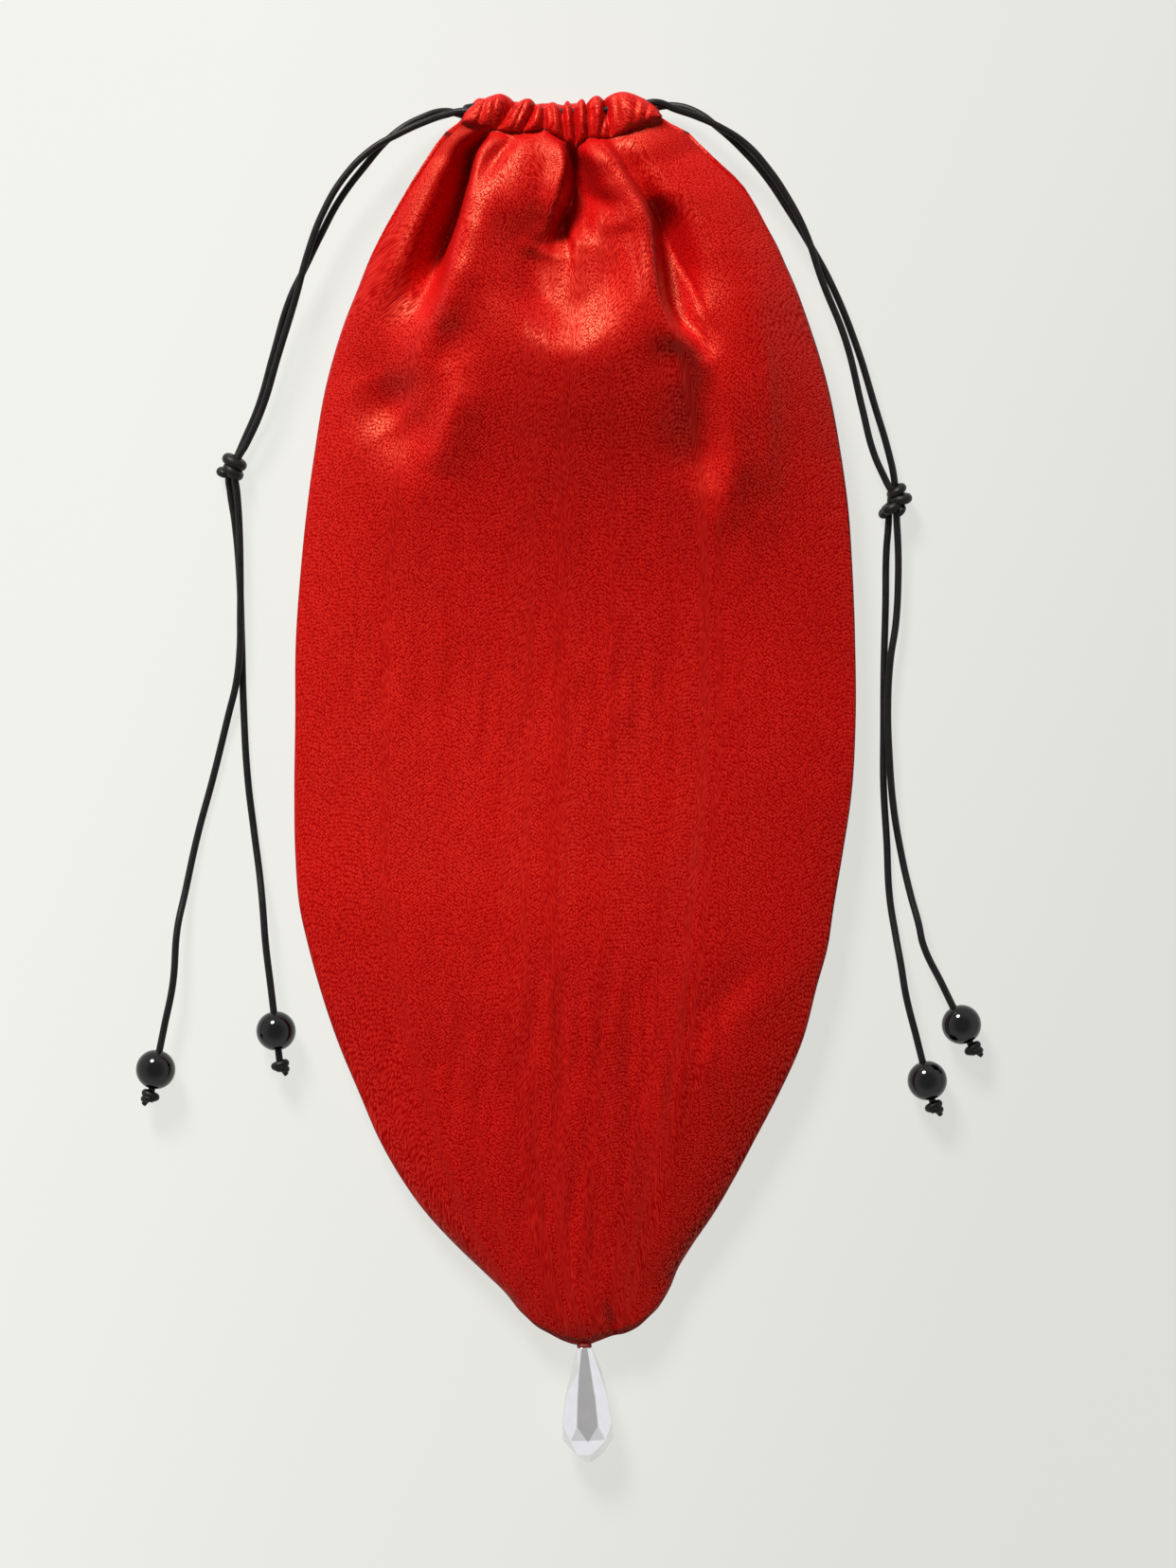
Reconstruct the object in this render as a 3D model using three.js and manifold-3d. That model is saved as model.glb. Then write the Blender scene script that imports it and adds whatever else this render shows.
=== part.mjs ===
// A kinchaku: a gathered drawstring pouch of satin-woven cloth with leather cords.
// It lies on its back as it would on a table: mouth towards +Y, front panel up.
// Millimetres, +Z up. The origin is the middle of its footprint, on the table.

import * as THREE from 'three'
import { mergeVertices } from 'three/addons/utils/BufferGeometryUtils.js'
import Module from 'manifold-3d'

const wasm = await Module()
wasm.setup()

// Pouch
const pouchLength = 314.4 // from the top of the casing to the tip of the cloth
const pouchWidth = 141.4
const crownHeight = 28.6 // front panel above the table where the pouch is fullest
const seamHeight = 8.5 // side seams above the table; they sink to the drop's height at the tip
const clothThickness = 0.8
const clearance = 0.3 // between pieces that touch

// Casing, the hem that the drawstrings run through, one on each panel
const mouthWidth = 50
const mouthShift = -3.6 // the gathers sit a little to the left of the middle
const casingDepth = 6 // of one casing, front to back
const slitWidth = 5 // the mouth, between the two casings
const casingDrop = 3.7 // from the top of the pouch down to the casing's centre line
const casingSag = 2.6 // how much lower the centre line runs in the middle
const casingHalfHeight = 3.85
const casingSwell = 0.9 // extra half height in the middle
const ruffleDepth = 1.6 // how far the gathers stand out of the front casing
const ruffleNotch = 0.45 // how far the casing's edges dip between gathers
const backNotch = 0.25 // how far the back casing's face dips between gathers
const sideVent = 9 // below the casing, where the panels part to let the cords out

// Drawstrings
const cordDiameter = 1.8
const cordSpacing = 2.2 // between the two cords inside one casing
const cordLift = 0.15 // below a cord that lies on the table
const beadDiameter = 10
const beadBore = 2.4
const beadTravel = 16
const stopperLength = 3.4
const mainKnotDepth = 7

// Drop at the tip
const dropLength = 29
const dropWidth = 13.8
const dropDepth = 12.1
const dropGap = 0.8 // from the tip of the cloth to the top of the drop
const dropHole = 1.7
const dropHoleDepth = 5
const threadDiameter = 1

const totalLength = pouchLength + dropGap + dropLength
const mouthY = totalLength / 2
const tipY = mouthY - pouchLength
const halfWidth = pouchWidth / 2
const backCasingZ = casingDepth / 2
const frontCasingZ = casingDepth * 1.5 + slitWidth
const cordRadius = cordDiameter / 2
const floorCordZ = cordRadius + cordLift
const beadRadius = beadDiameter / 2

const red = { color: 0xc02a22, roughness: 0.55, metalness: 0 }
const cloth = new THREE.MeshStandardMaterial(red)
const thread = new THREE.MeshStandardMaterial({ color: 0x7a120e, roughness: 0.8, metalness: 0 })
const leather = new THREE.MeshStandardMaterial({ color: 0x1a1818, roughness: 0.55, metalness: 0 })
const gloss = new THREE.MeshStandardMaterial({ color: 0x050506, roughness: 0.08, metalness: 0 })
const silver = new THREE.MeshStandardMaterial({ color: 0xd8d8da, roughness: 0.12, metalness: 1 })

const pouch = new THREE.Group()

// Small helpers

const vector = (x, y, z) => new THREE.Vector3(x, y, z)
const lerp = THREE.MathUtils.lerp

function ease(from, to, value) {
  return THREE.MathUtils.smoothstep(value, from, to)
}

// A smooth curve through rows of [place, value], read at one place.
function curveAt(rows, place) {
  const last = rows.length - 1
  let i = 0
  while (i < last - 1 && place > rows[i + 1][0]) i += 1
  const [x0, y0] = rows[i]
  const [x1, y1] = rows[i + 1]
  const slope = (a, b) => (rows[b][1] - rows[a][1]) / (rows[b][0] - rows[a][0])
  const step = x1 - x0
  const m0 = slope(Math.max(i - 1, 0), i + 1) * step
  const m1 = slope(i, Math.min(i + 2, last)) * step
  const f = THREE.MathUtils.clamp((place - x0) / step, 0, 1)
  const f2 = f * f
  const f3 = f2 * f
  return (2 * f3 - 3 * f2 + 1) * y0 + (f3 - 2 * f2 + f) * m0 + (3 * f2 - 2 * f3) * y1 + (f3 - f2) * m1
}

function toSolid(geometry) {
  const bare = geometry.clone()
  bare.deleteAttribute('normal')
  bare.deleteAttribute('uv')
  const merged = mergeVertices(bare, 1e-4)
  return new wasm.Manifold(new wasm.Mesh({
    numProp: 3,
    vertProperties: new Float32Array(merged.attributes.position.array),
    triVerts: new Uint32Array(merged.index.array)
  }))
}

function toGeometry(solid) {
  const mesh = solid.getMesh()
  const geometry = new THREE.BufferGeometry()
  geometry.setAttribute('position', new THREE.BufferAttribute(mesh.vertProperties, 3))
  geometry.setIndex(new THREE.BufferAttribute(mesh.triVerts, 1))
  return geometry
}

function joined(geometries) {
  return geometries.map(toSolid).reduce((whole, next) => whole.add(next))
}

function addPiece(name, geometry, material, parent = pouch) {
  const mesh = new THREE.Mesh(geometry, material)
  mesh.name = name
  parent.add(mesh)
  return mesh
}

// Outline of the pouch, seen from above. Places run from the casing's top, 0, to the tip, 1,
// and the edges are shares of half the width.
const leftEdge = [
  [0.026, -0.41], [0.046, -0.498], [0.076, -0.586], [0.122, -0.704], [0.182, -0.818],
  [0.273, -0.916], [0.394, -0.983], [0.5, -0.99], [0.606, -1], [0.712, -0.909],
  [0.803, -0.758], [0.879, -0.582], [0.939, -0.337], [0.977, -0.168], [0.994, -0.067], [1, 0.003]
]
const rightEdge = [
  [0.026, 0.32], [0.046, 0.451], [0.076, 0.596], [0.122, 0.717], [0.182, 0.828],
  [0.273, 0.933], [0.394, 0.99], [0.5, 1], [0.606, 0.96], [0.712, 0.862],
  [0.803, 0.717], [0.879, 0.539], [0.939, 0.367], [0.977, 0.263], [0.994, 0.121], [1, 0.045]
]

// Height of the crown of the front panel above the table, as a share of its most.
const crownShare = [
  [0.03, 0.52], [0.05, 0.65], [0.077, 0.71], [0.13, 0.755], [0.168, 0.85], [0.2, 0.965],
  [0.22, 1], [0.247, 0.985], [0.289, 0.92], [0.35, 0.79], [0.41, 0.7], [0.47, 0.64], [0.53, 0.612],
  [0.6, 0.616], [0.65, 0.626], [0.7, 0.616], [0.743, 0.588], [0.804, 0.525], [0.864, 0.45],
  [0.925, 0.378], [0.963, 0.328], [0.985, 0.287], [1, 0.22]
]

const tipSeamZ = dropDepth / 2
const seamZ = place => lerp(seamHeight, tipSeamZ, ease(0.7, 1, place))
const crownZ = place => lerp(crownHeight * curveAt(crownShare, place), tipSeamZ, ease(0.98, 1, place))
const placeOf = y => (mouthY - y) / pouchLength
const edgesAt = place => [
  curveAt(leftEdge, place) * halfWidth,
  curveAt(rightEdge, place) * halfWidth
]

function pointOn(place, across) {
  const [left, right] = edgesAt(place)
  return [lerp(left, right, (across + 1) / 2), mouthY - place * pouchLength]
}

// Folds of the front panel. Each follows a few points of [place, across], where across runs
// from -1 at the left seam to 1 at the right; width and height are in millimetres.
const folds = [
  { width: 3.6, height: -6, path: [[0.035, -0.69], [0.087, -0.73], [0.13, -0.8], [0.183, -0.83]] },
  { width: 3.4, height: 3, path: [[0.04, -0.62], [0.087, -0.6], [0.13, -0.58], [0.19, -0.6]] },
  { width: 3.4, height: -5.5, path: [[0.04, 0.02], [0.074, -0.05], [0.117, -0.13]] },
  { width: 2.6, height: 2.4, path: [[0.04, 0.2], [0.08, 0.14], [0.1, 0.17]] },
  { width: 3.4, height: 3.6, path: [[0.035, 0.33], [0.087, 0.36], [0.145, 0.37], [0.21, 0.5]] },
  { width: 3, height: -4.6, path: [[0.06, 0.46], [0.105, 0.49], [0.15, 0.5], [0.18, 0.58]] },
  { width: 7, height: 1, path: [[0.14, -0.33], [0.19, -0.08], [0.187, 0.07], [0.155, 0.27]] },
  { width: 5, height: -1.8, path: [[0.17, -0.47], [0.21, -0.5], [0.23, -0.52]] },
  { width: 5, height: -2.2, path: [[0.215, 0.4], [0.25, 0.43], [0.28, 0.43]] },
  { width: 7, height: -1.6, path: [[0.7, 0.62], [0.735, 0.5], [0.76, 0.42]] },
  { width: 5, height: -1, path: [[0.74, 0.2], [0.82, 0.27], [0.9, 0.4]] }
].map(fold => ({ ...fold, path: fold.path.map(([place, across]) => pointOn(place, across)) }))

function foldHeight(x, y) {
  let total = 0
  for (const fold of folds) {
    let nearest = Infinity
    let share = 0
    const legs = fold.path.length - 1
    for (let i = 0; i < legs; i += 1) {
      const [ax, ay] = fold.path[i]
      const [bx, by] = fold.path[i + 1]
      const leg = (bx - ax) ** 2 + (by - ay) ** 2
      const f = THREE.MathUtils.clamp(((x - ax) * (bx - ax) + (y - ay) * (by - ay)) / leg, 0, 1)
      const distance = Math.hypot(x - lerp(ax, bx, f), y - lerp(ay, by, f))
      if (distance < nearest) {
        nearest = distance
        share = (i + f) / legs
      }
    }
    const fade = ease(-0.1, 0.25, share) * (1 - 0.7 * ease(0.6, 1, share))
    total += fold.height * fade * Math.exp(-((nearest / fold.width) ** 2))
  }
  return total
}

// Gathers: each lobe of a casing is as wide as it is drawn, as shares of the mouth.
const frontLobes = [-1, -0.486, -0.229, -0.1, 0.02, 0.133, 0.286, 0.505, 1]
const backLobes = [-1, -0.45, 0.05, 0.55, 1]
const columnsPerLobe = 4

const mouthX = across => mouthShift + across * mouthWidth / 2
const middleness = across => 1 - across * across
const casingY = across => mouthY - casingDrop - casingSag * middleness(across)

// How far a column is into its gather: 0 between two gathers, 1 at the crest.
function gathers(lobes) {
  const columns = []
  for (let lobe = 0; lobe < lobes.length - 1; lobe += 1) {
    for (let i = 0; i < columnsPerLobe; i += 1) {
      const f = i / columnsPerLobe
      const crest = 0.5 - 0.5 * Math.cos(2 * Math.PI * f)
      columns.push({ across: lerp(lobes[lobe], lobes[lobe + 1], f), crest })
    }
  }
  columns.push({ across: 1, crest: 0 })
  return columns
}

function casingHalf({ across, crest }) {
  return casingHalfHeight + casingSwell * middleness(across) - ruffleNotch * (1 - crest)
}

// Joins an outer and an inner grid of points into one closed skin, edge to edge.
function skin(outer, inner, wrapped) {
  const rows = outer.length
  const columns = outer[0].length
  const positions = [...outer, ...inner].flat().flatMap(point => point.toArray())
  const at = (layer, r, c) => (layer * rows + r) * columns + (c % columns)
  const index = []
  const quad = (a, b, c, d) => index.push(a, b, c, a, c, d)
  const across = wrapped ? columns : columns - 1
  for (let r = 0; r < rows - 1; r += 1) {
    for (let c = 0; c < across; c += 1) {
      quad(at(0, r, c), at(0, r + 1, c), at(0, r + 1, c + 1), at(0, r, c + 1))
      quad(at(1, r, c), at(1, r, c + 1), at(1, r + 1, c + 1), at(1, r + 1, c))
    }
    if (!wrapped) {
      quad(at(0, r, 0), at(1, r, 0), at(1, r + 1, 0), at(0, r + 1, 0))
      quad(at(0, r, across), at(0, r + 1, across), at(1, r + 1, across), at(1, r, across))
    }
  }
  const end = rows - 1
  for (let c = 0; c < across; c += 1) {
    quad(at(0, 0, c), at(0, 0, c + 1), at(1, 0, c + 1), at(1, 0, c))
    quad(at(0, end, c), at(1, end, c), at(1, end, c + 1), at(0, end, c + 1))
  }
  const geometry = new THREE.BufferGeometry()
  geometry.setAttribute('position', new THREE.Float32BufferAttribute(positions, 3))
  geometry.setIndex(index)
  return geometry
}

function turned(geometry) {
  const index = geometry.index.array
  for (let i = 0; i < index.length; i += 3) [index[i], index[i + 1]] = [index[i + 1], index[i]]
  return geometry
}

// The two panels. A panel is one sheet: it hangs from its stitch line down to the tip.
const front = {
  out: 1,
  casingZ: frontCasingZ,
  columns: gathers(frontLobes),
  rows: 19,
  rim: seamZ,
  peak: crownZ,
  weight: across => (1 - Math.abs(across) ** 2.6) ** 0.6,
  relief: foldHeight
}
const back = {
  out: -1,
  casingZ: backCasingZ,
  columns: gathers(backLobes),
  rows: 13,
  rim: place => seamZ(place) - clearance,
  peak: place => (tipSeamZ - clearance) * ease(0.955, 1, place) ** 2,
  weight: across => 1 - ease(0.5, 1.12, Math.abs(across)) / ease(0.5, 1.12, 1),
  relief: () => 0
}

const flare = 3 // below the stitch line, where the cloth spreads to the outline
const neck = 10 // below the stitch line, where the cloth leaves the casing's height
const spread = 95 // below the stitch line, where the gathers have opened out
const pleatHeight = 1.5
const pleatStart = 5 // below the stitch line, where the pleats have their full height
const pleatEnd = 32
const foldStart = 6

function panelPoint(face, column, share, inset) {
  const { across, crest } = column
  const material = lerp(-1, 1, face.columns.indexOf(column) / (face.columns.length - 1))
  const stitchY = casingY(across) - casingHalf(column) + clothThickness / 2
  const y = lerp(stitchY, tipY + inset, share)
  const below = stitchY - y
  const place = placeOf(y)
  const opened = lerp(across, material, ease(0, spread, below))
  const [left, right] = edgesAt(placeOf(lerp(stitchY, tipY, share)))
  const flatX = lerp(left + inset, right - inset, (opened + 1) / 2)
  const x = lerp(mouthX(across), flatX, ease(0, flare, below))
  const half = face.out * (clothThickness / 2 - inset)
  const rim = lerp(face.casingZ, face.rim(place), ease(0, sideVent, below))
  const room = Math.max(0, face.out * (face.peak(place) - face.rim(place)) - inset)
  const peak = lerp(face.casingZ + half, face.rim(place) + face.out * room, ease(0, neck, below))
  const weight = face.weight(opened)
  const pleatFade = ease(0, pleatStart, below) * (1 - ease(pleatStart, pleatEnd, below))
  const pleats = face.out * pleatHeight * (crest * 2 - 1) * pleatFade
  const relief = face.out > 0 ? pleats + face.relief(x, y) * ease(0, foldStart, below) : 0
  return vector(x, y, rim + (peak - rim) * weight + relief * Math.min(1, weight * 2))
}

function panelSheet(face) {
  const layer = inset => Array.from({ length: face.rows }, (_, row) => {
    const v = row / (face.rows - 1)
    const share = v - 0.8 / (2 * Math.PI) * Math.sin(2 * Math.PI * v)
    return face.columns.map(column => panelPoint(face, column, share, inset))
  })
  const geometry = skin(layer(0), layer(clothThickness), false)
  return face.out > 0 ? geometry : turned(geometry)
}

// The casing is a flat tunnel whose front swells and pinches with the gathers.
function casingTunnel(face) {
  const sides = 8
  const ring = (column, inset) => {
    const { across, crest } = column
    const tall = casingHalf(column) - inset
    const deep = casingDepth / 2 - inset
    const ruffle = face.out > 0 ? ruffleDepth * crest : -backNotch * (1 - crest)
    return Array.from({ length: sides }, (_, k) => {
      const angle = 2 * Math.PI * k / sides
      const outward = Math.sin(angle) * face.out > 0.1 ? deep + ruffle : deep
      const y = casingY(across) + tall * Math.cos(angle)
      return vector(mouthX(across), y, face.casingZ + outward * Math.sin(angle))
    })
  }
  const outer = face.columns.map(column => ring(column, 0))
  const inner = face.columns.map(column => ring(column, clothThickness))
  return turned(skin(outer, inner, true))
}

// At both ends the wall that faces the mouth is cut back, where the other cord turns round.
const turnRadius = (frontCasingZ - backCasingZ) / 2
const ventLength = turnRadius + cordRadius + clearance

function ventCut(face, side) {
  const reach = ventLength + 1
  const box = new THREE.BoxGeometry(reach, 3 * casingHalfHeight, casingDepth)
  const wallZ = face.casingZ - face.out * (casingDepth / 2 + clothThickness / 2)
  const x = mouthX(side) - side * (ventLength - reach / 2)
  return toSolid(box.translate(x, casingY(side), wallZ))
}

function panel(face) {
  const whole = joined([panelSheet(face), casingTunnel(face)])
  return toGeometry(whole.subtract(ventCut(face, -1)).subtract(ventCut(face, 1)))
}

addPiece('front_panel', panel(front), cloth)
addPiece('back_panel', panel(back), cloth)

// Round cord along a smooth curve through its points.
function roundSection(diameter, sides) {
  const shape = new THREE.Shape()
  for (let k = 0; k < sides; k += 1) {
    const angle = 2 * Math.PI * k / sides
    const [x, y] = [Math.cos(angle) * diameter / 2, Math.sin(angle) * diameter / 2]
    if (k === 0) shape.moveTo(x, y)
    else shape.lineTo(x, y)
  }
  return shape
}

const stepInDiameters = 3

function cordAlong(points, diameter = cordDiameter, sides = 8) {
  const path = new THREE.CatmullRomCurve3(points, false, 'centripetal')
  const steps = Math.min(78, Math.ceil(path.getLength() / (stepInDiameters * diameter)))
  const options = { steps, extrudePath: path, bevelEnabled: false }
  return new THREE.ExtrudeGeometry(roundSection(diameter, sides), options)
}

// Routes of the strands, from the casing's end to the main knot, as they lie: x, y and z.
// The front strand leaves the front casing and lies on the one from the back casing.
const leftFront = [
  [-32.7, 166, 12.4], [-36.8, 164.8, 10.9], [-44.1, 161.7, 9.6], [-51.3, 157.6, 9.2],
  [-58, 150.8, 9.2], [-63.4, 141.7, 9], [-67, 132.2, 8.7], [-70.5, 119.6, 8],
  [-74.8, 105.7, 7], [-78.7, 93, 5.9], [-82.8, 84, 4.9], [-85.2, 79.8, 4.5]
]
const leftBack = [
  [-32.7, 167.9, 3.8], [-38.6, 166.1, 5.4], [-45.5, 161.9, 6.6], [-53.5, 153, 6.9],
  [-59.4, 145, 6.8], [-64.1, 136.2, 6.6], [-68, 128.2, 6.3], [-71.8, 120.4, 5.7],
  [-76, 106.5, 4.7], [-79.7, 93.8, 3.6], [-83.4, 85.2, 2.6], [-85.6, 80.2, 2.4]
]
const rightFront = [
  [25, 167.5, 12.4], [30.3, 165.9, 10.6], [36.3, 163.3, 9.6], [42.7, 159.2, 9.2],
  [48.2, 153.2, 9.2], [53.3, 145.7, 9], [57.7, 137.2, 8.8], [62, 124.9, 8.2],
  [68, 109.8, 7.2], [72.2, 92.9, 6], [75.1, 81.8, 5.1], [78.4, 74.4, 4.6], [79.7, 71.6, 4.5]
]
const rightBack = [
  [25, 169.3, 3.9], [30.3, 167.6, 5.5], [35.8, 163.6, 6.6], [42.7, 157.2, 6.9],
  [48.2, 150.8, 6.8], [53.3, 143.2, 6.6], [58.9, 134.2, 6.4], [64.2, 124.6, 5.9],
  [70.4, 109.8, 4.7], [75.7, 92.9, 3.6], [78.7, 83, 2.9], [80.4, 75.4, 2.4], [80.6, 72, 2.4]
]

// The middle of each main knot.
const leftKnot = [-86.4, 78.1]
const rightKnot = [80.3, 70]

// One drawstring: in through one casing, round at the far end, and back through the other.
function loopRoute(side, frontStrand, backStrand, offset) {
  const turnX = mouthX(-side) + side * ventLength
  const stations = [0.96, 0.45, 0, -0.4].map(across => across * side)
  const inCasing = (across, z) => vector(mouthX(across), casingY(across) + offset, z)
  const turnY = casingY(-side * 0.75) + offset
  const turn = [60, 0, -60].map(degrees => {
    const angle = THREE.MathUtils.degToRad(degrees)
    const middle = (frontCasingZ + backCasingZ) / 2
    const reach = turnRadius * Math.cos(angle)
    return vector(turnX - side * reach, turnY, middle + turnRadius * Math.sin(angle))
  })
  return [
    ...frontStrand.toReversed().map(point => vector(...point)),
    ...stations.map(across => inCasing(across, frontCasingZ)),
    vector(turnX, turnY, frontCasingZ),
    ...turn,
    vector(turnX, turnY, backCasingZ),
    ...stations.toReversed().map(across => inCasing(across, backCasingZ)),
    ...backStrand.map(point => vector(...point))
  ]
}

const half = cordSpacing / 2
addPiece('cord_left_loop', cordAlong(loopRoute(-1, leftFront, leftBack, -half)), leather)
addPiece('cord_right_loop', cordAlong(loopRoute(1, rightFront, rightBack, half)), leather)

// Tails, from the main knot to the start of the straight stretch that the bead slides on.
// Each entry of a tail's end is a bead centre and the direction of the cord through it.
const overCord = 2.2 // lift of a cord that lies across another
const upper = floorCordZ + overCord
const tails = {
  left_outer: {
    bead: [-105.6, -73.4], heading: [-0.2, -1],
    route: [
      [-85.7, 76.4, 4.5], [-85.2, 72, 4], [-84.7, 64.4, upper], [-84.4, 52.2, upper], [-84.4, 40.1, upper],
      [-84.5, 32.7, upper], [-85.4, 24.2, upper - 0.2], [-87.5, 15.8, 1.6],
      [-91.3, 0.4, floorCordZ], [-95.3, -14.5, floorCordZ], [-98.4, -29, 2.2], [-100.2, -38, 4.2]
    ]
  },
  left_inner: {
    bead: [-75.3, -63.7], heading: [0.12, -1],
    route: [
      [-87.3, 76.4, 2.4], [-87, 72, 1.9], [-85.9, 64.4, floorCordZ], [-84.8, 52.2, floorCordZ],
      [-84.2, 36, floorCordZ], [-83.7, 18, floorCordZ], [-82.7, 0.4, floorCordZ],
      [-80.9, -14.5, floorCordZ + 0.5], [-79.6, -24, 2.8], [-78.8, -31, 4.4]
    ]
  },
  right_outer: {
    bead: [97.2, -62.1], heading: [0.48, -1],
    route: [
      [80.8, 68.2, 4.5], [81, 64, 4.1], [81.3, 59, 3.6], [81.4, 51, 3.1], [80.8, 39.1, 3.1],
      [79.4, 29.5, 3], [78.8, 18, 2.8], [79.2, 5, 2.8], [80.2, -7, 2.2],
      [82.2, -19, floorCordZ + 0.4], [84.4, -29, 2.6], [86.4, -36.5, 4.3]
    ]
  },
  right_inner: {
    bead: [88.6, -76.2], heading: [0.25, -1],
    route: [
      [79.2, 68.2, 2.4], [79, 64, 1.9], [78.5, 57, floorCordZ], [78.3, 43.7, floorCordZ], [77.9, 28, floorCordZ],
      [77.8, 12, floorCordZ], [77.8, -2, floorCordZ], [78.6, -16, floorCordZ],
      [79.3, -30, floorCordZ + 0.3], [80.8, -40, 2.8], [82, -47, 4.4]
    ]
  }
}

// A knot's band: one turn of cord, tilted, in the frame of the cord that leaves along -Y.
function band(place, radius, thickness, tilt) {
  const ring = new THREE.TorusGeometry(radius, thickness, 5, 8)
  ring.rotateX(Math.PI / 2 + tilt[0])
  ring.rotateZ(tilt[1])
  return ring.translate(...place)
}

function cutEnd(start, end, radius) {
  const length = start.distanceTo(end)
  const stub = new THREE.CylinderGeometry(radius, radius, length, 7)
  const turn = new THREE.Quaternion().setFromUnitVectors(
    vector(0, 1, 0), end.clone().sub(start).normalize()
  )
  return stub.applyQuaternion(turn).translate(...start.clone().add(end).multiplyScalar(0.5))
}

// The stopper knot below a bead: two turns of the cord round itself and its cut end.
function stopperKnot(lean) {
  const turn = cordRadius * 0.98
  const reach = 1.35
  return joined([
    band([0, -reach, 0], reach, turn, [0.25, 0.3 * lean]),
    band([0.15 * lean, -stopperLength + 1.3, 0.1], reach * 0.85, turn, [-0.35, -0.4 * lean]),
    new THREE.SphereGeometry(reach, 6, 4).translate(0, -stopperLength / 2, 0),
    cutEnd(vector(0, -stopperLength / 2, 0), vector(0.9 * lean, -stopperLength - 1.5, -0.5), turn * 0.8)
  ])
}

function beadShape() {
  const bore = beadBore / 2
  const start = Math.asin(bore / beadRadius)
  const arc = 8
  const profile = [new THREE.Vector2(bore, Math.cos(start) * beadRadius)]
  for (let i = 1; i < arc; i += 1) {
    const angle = lerp(start, Math.PI - start, i / arc)
    profile.push(new THREE.Vector2(Math.sin(angle), Math.cos(angle)).multiplyScalar(beadRadius))
  }
  profile.push(new THREE.Vector2(bore, -Math.cos(start) * beadRadius), profile[0].clone())
  return new THREE.LatheGeometry(profile.reverse(), 16)
}

const straightStart = beadTravel + beadRadius + 1

function tailWithBead(name, { bead, heading, route }, slack, lean) {
  const along = vector(heading[0], heading[1], 0).normalize()
  const centre = vector(bead[0], bead[1], beadRadius)
  const on = distance => centre.clone().addScaledVector(along, distance)
  const cordEnd = beadRadius + clearance + slack
  const straight = [-straightStart, -straightStart / 2, 0, cordEnd].map(on)
  const points = [...route.map(point => vector(...point)), ...straight]
  addPiece(`cord_${name}_tail`, cordAlong(points), leather)
  const holder = new THREE.Group()
  holder.position.copy(centre)
  holder.rotation.z = Math.atan2(along.x, -along.y)
  pouch.add(holder)
  addPiece(`bead_${name}`, beadShape(), gloss, holder)
  const knot = toGeometry(stopperKnot(lean))
  knot.translate(0, -cordEnd - clearance, 0)
  addPiece(`stopper_knot_${name}`, knot, leather, holder)
  return points
}

const tailRoutes = {
  left_outer: tailWithBead('left_outer', tails.left_outer, 0, -1),
  left_inner: tailWithBead('left_inner', tails.left_inner, 2, 1),
  right_outer: tailWithBead('right_outer', tails.right_outer, 0, 1),
  right_inner: tailWithBead('right_inner', tails.right_inner, 0, 1)
}

// The main knots: an overhand knot of both strands, drawn tight. The cords run into it.
function mainKnot(name, place, strands, mirror) {
  const z = mainKnotDepth / 2
  const bandRadius = z - 1.2
  const shape = joined([
    band([0.5 * mirror, 1.9, 0], bandRadius, 1.15, [0.4, 0.2 * mirror]),
    band([0.7 * mirror, -0.5, 0], bandRadius, 1.15, [-0.2, -0.3 * mirror]),
    band([-0.9, -1.7, 0], bandRadius * 0.9, 1.1, [0.3, -0.75]),
    new THREE.SphereGeometry(bandRadius, 9, 7).scale(1, 1.25, 1),
    cutEnd(vector(-1.5, -1.2, 0), vector(-3.1, -2.4, 0.3), 1)
  ]).translate(place[0], place[1], z)
  const sockets = strands.map(points => toSolid(cordAlong(points, cordDiameter + 2 * clearance)))
  addPiece(name, toGeometry(sockets.reduce((knot, cord) => knot.subtract(cord), shape)), leather)
}

const ends = (strand, tail) => [strand.slice(-3).map(point => vector(...point)), tail.slice(0, 3)]
mainKnot('knot_left', leftKnot, [
  ...ends(leftFront, tailRoutes.left_outer), ...ends(leftBack, tailRoutes.left_inner)
], 1)
mainKnot('knot_right', rightKnot, [
  ...ends(rightFront, tailRoutes.right_inner), ...ends(rightBack, tailRoutes.right_outer)
], 1)

// The drop: a faceted teardrop bead, glued on a short thread that comes out of the tip.
const dropTop = vector(2.3, tipY - dropGap, dropDepth / 2)
const dropLean = THREE.MathUtils.degToRad(2.3)

function dropShape() {
  const widest = dropWidth / 2
  const hole = dropHole / 2
  const outline = [
    [0, -dropHoleDepth], [hole, -dropHoleDepth], [hole, -0.5], [hole + 0.3, 0], [1.9, 0],
    [2.3, -0.031 * dropLength], [0.49 * widest, -0.17 * dropLength], [0.74 * widest, -0.36 * dropLength],
    [0.94 * widest, -0.57 * dropLength], [widest, -0.71 * dropLength],
    [0.87 * widest, -0.84 * dropLength], [0.5 * widest, -0.945 * dropLength],
    [0.16 * widest, -dropLength], [0, -dropLength]
  ].map(([radius, y]) => new THREE.Vector2(radius, y))
  const facets = 8
  const lathe = new THREE.LatheGeometry(outline.reverse(), facets)
  const flat = Math.cos(Math.PI / facets)
  lathe.rotateY(Math.PI / facets)
  return lathe.scale(1 / flat, 1, dropDepth / dropWidth / flat)
}

const dropHolder = new THREE.Group()
dropHolder.position.copy(dropTop)
dropHolder.rotation.z = dropLean
pouch.add(dropHolder)
addPiece('drop', dropShape(), silver, dropHolder)

const threadEnd = dropHoleDepth - clearance
addPiece('drop_thread', cordAlong([
  vector(0, dropGap - clearance, 0),
  vector(0, -threadEnd / 2, 0),
  vector(0, -threadEnd, 0)
], threadDiameter, 7), thread, dropHolder)

export default pouch
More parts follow.
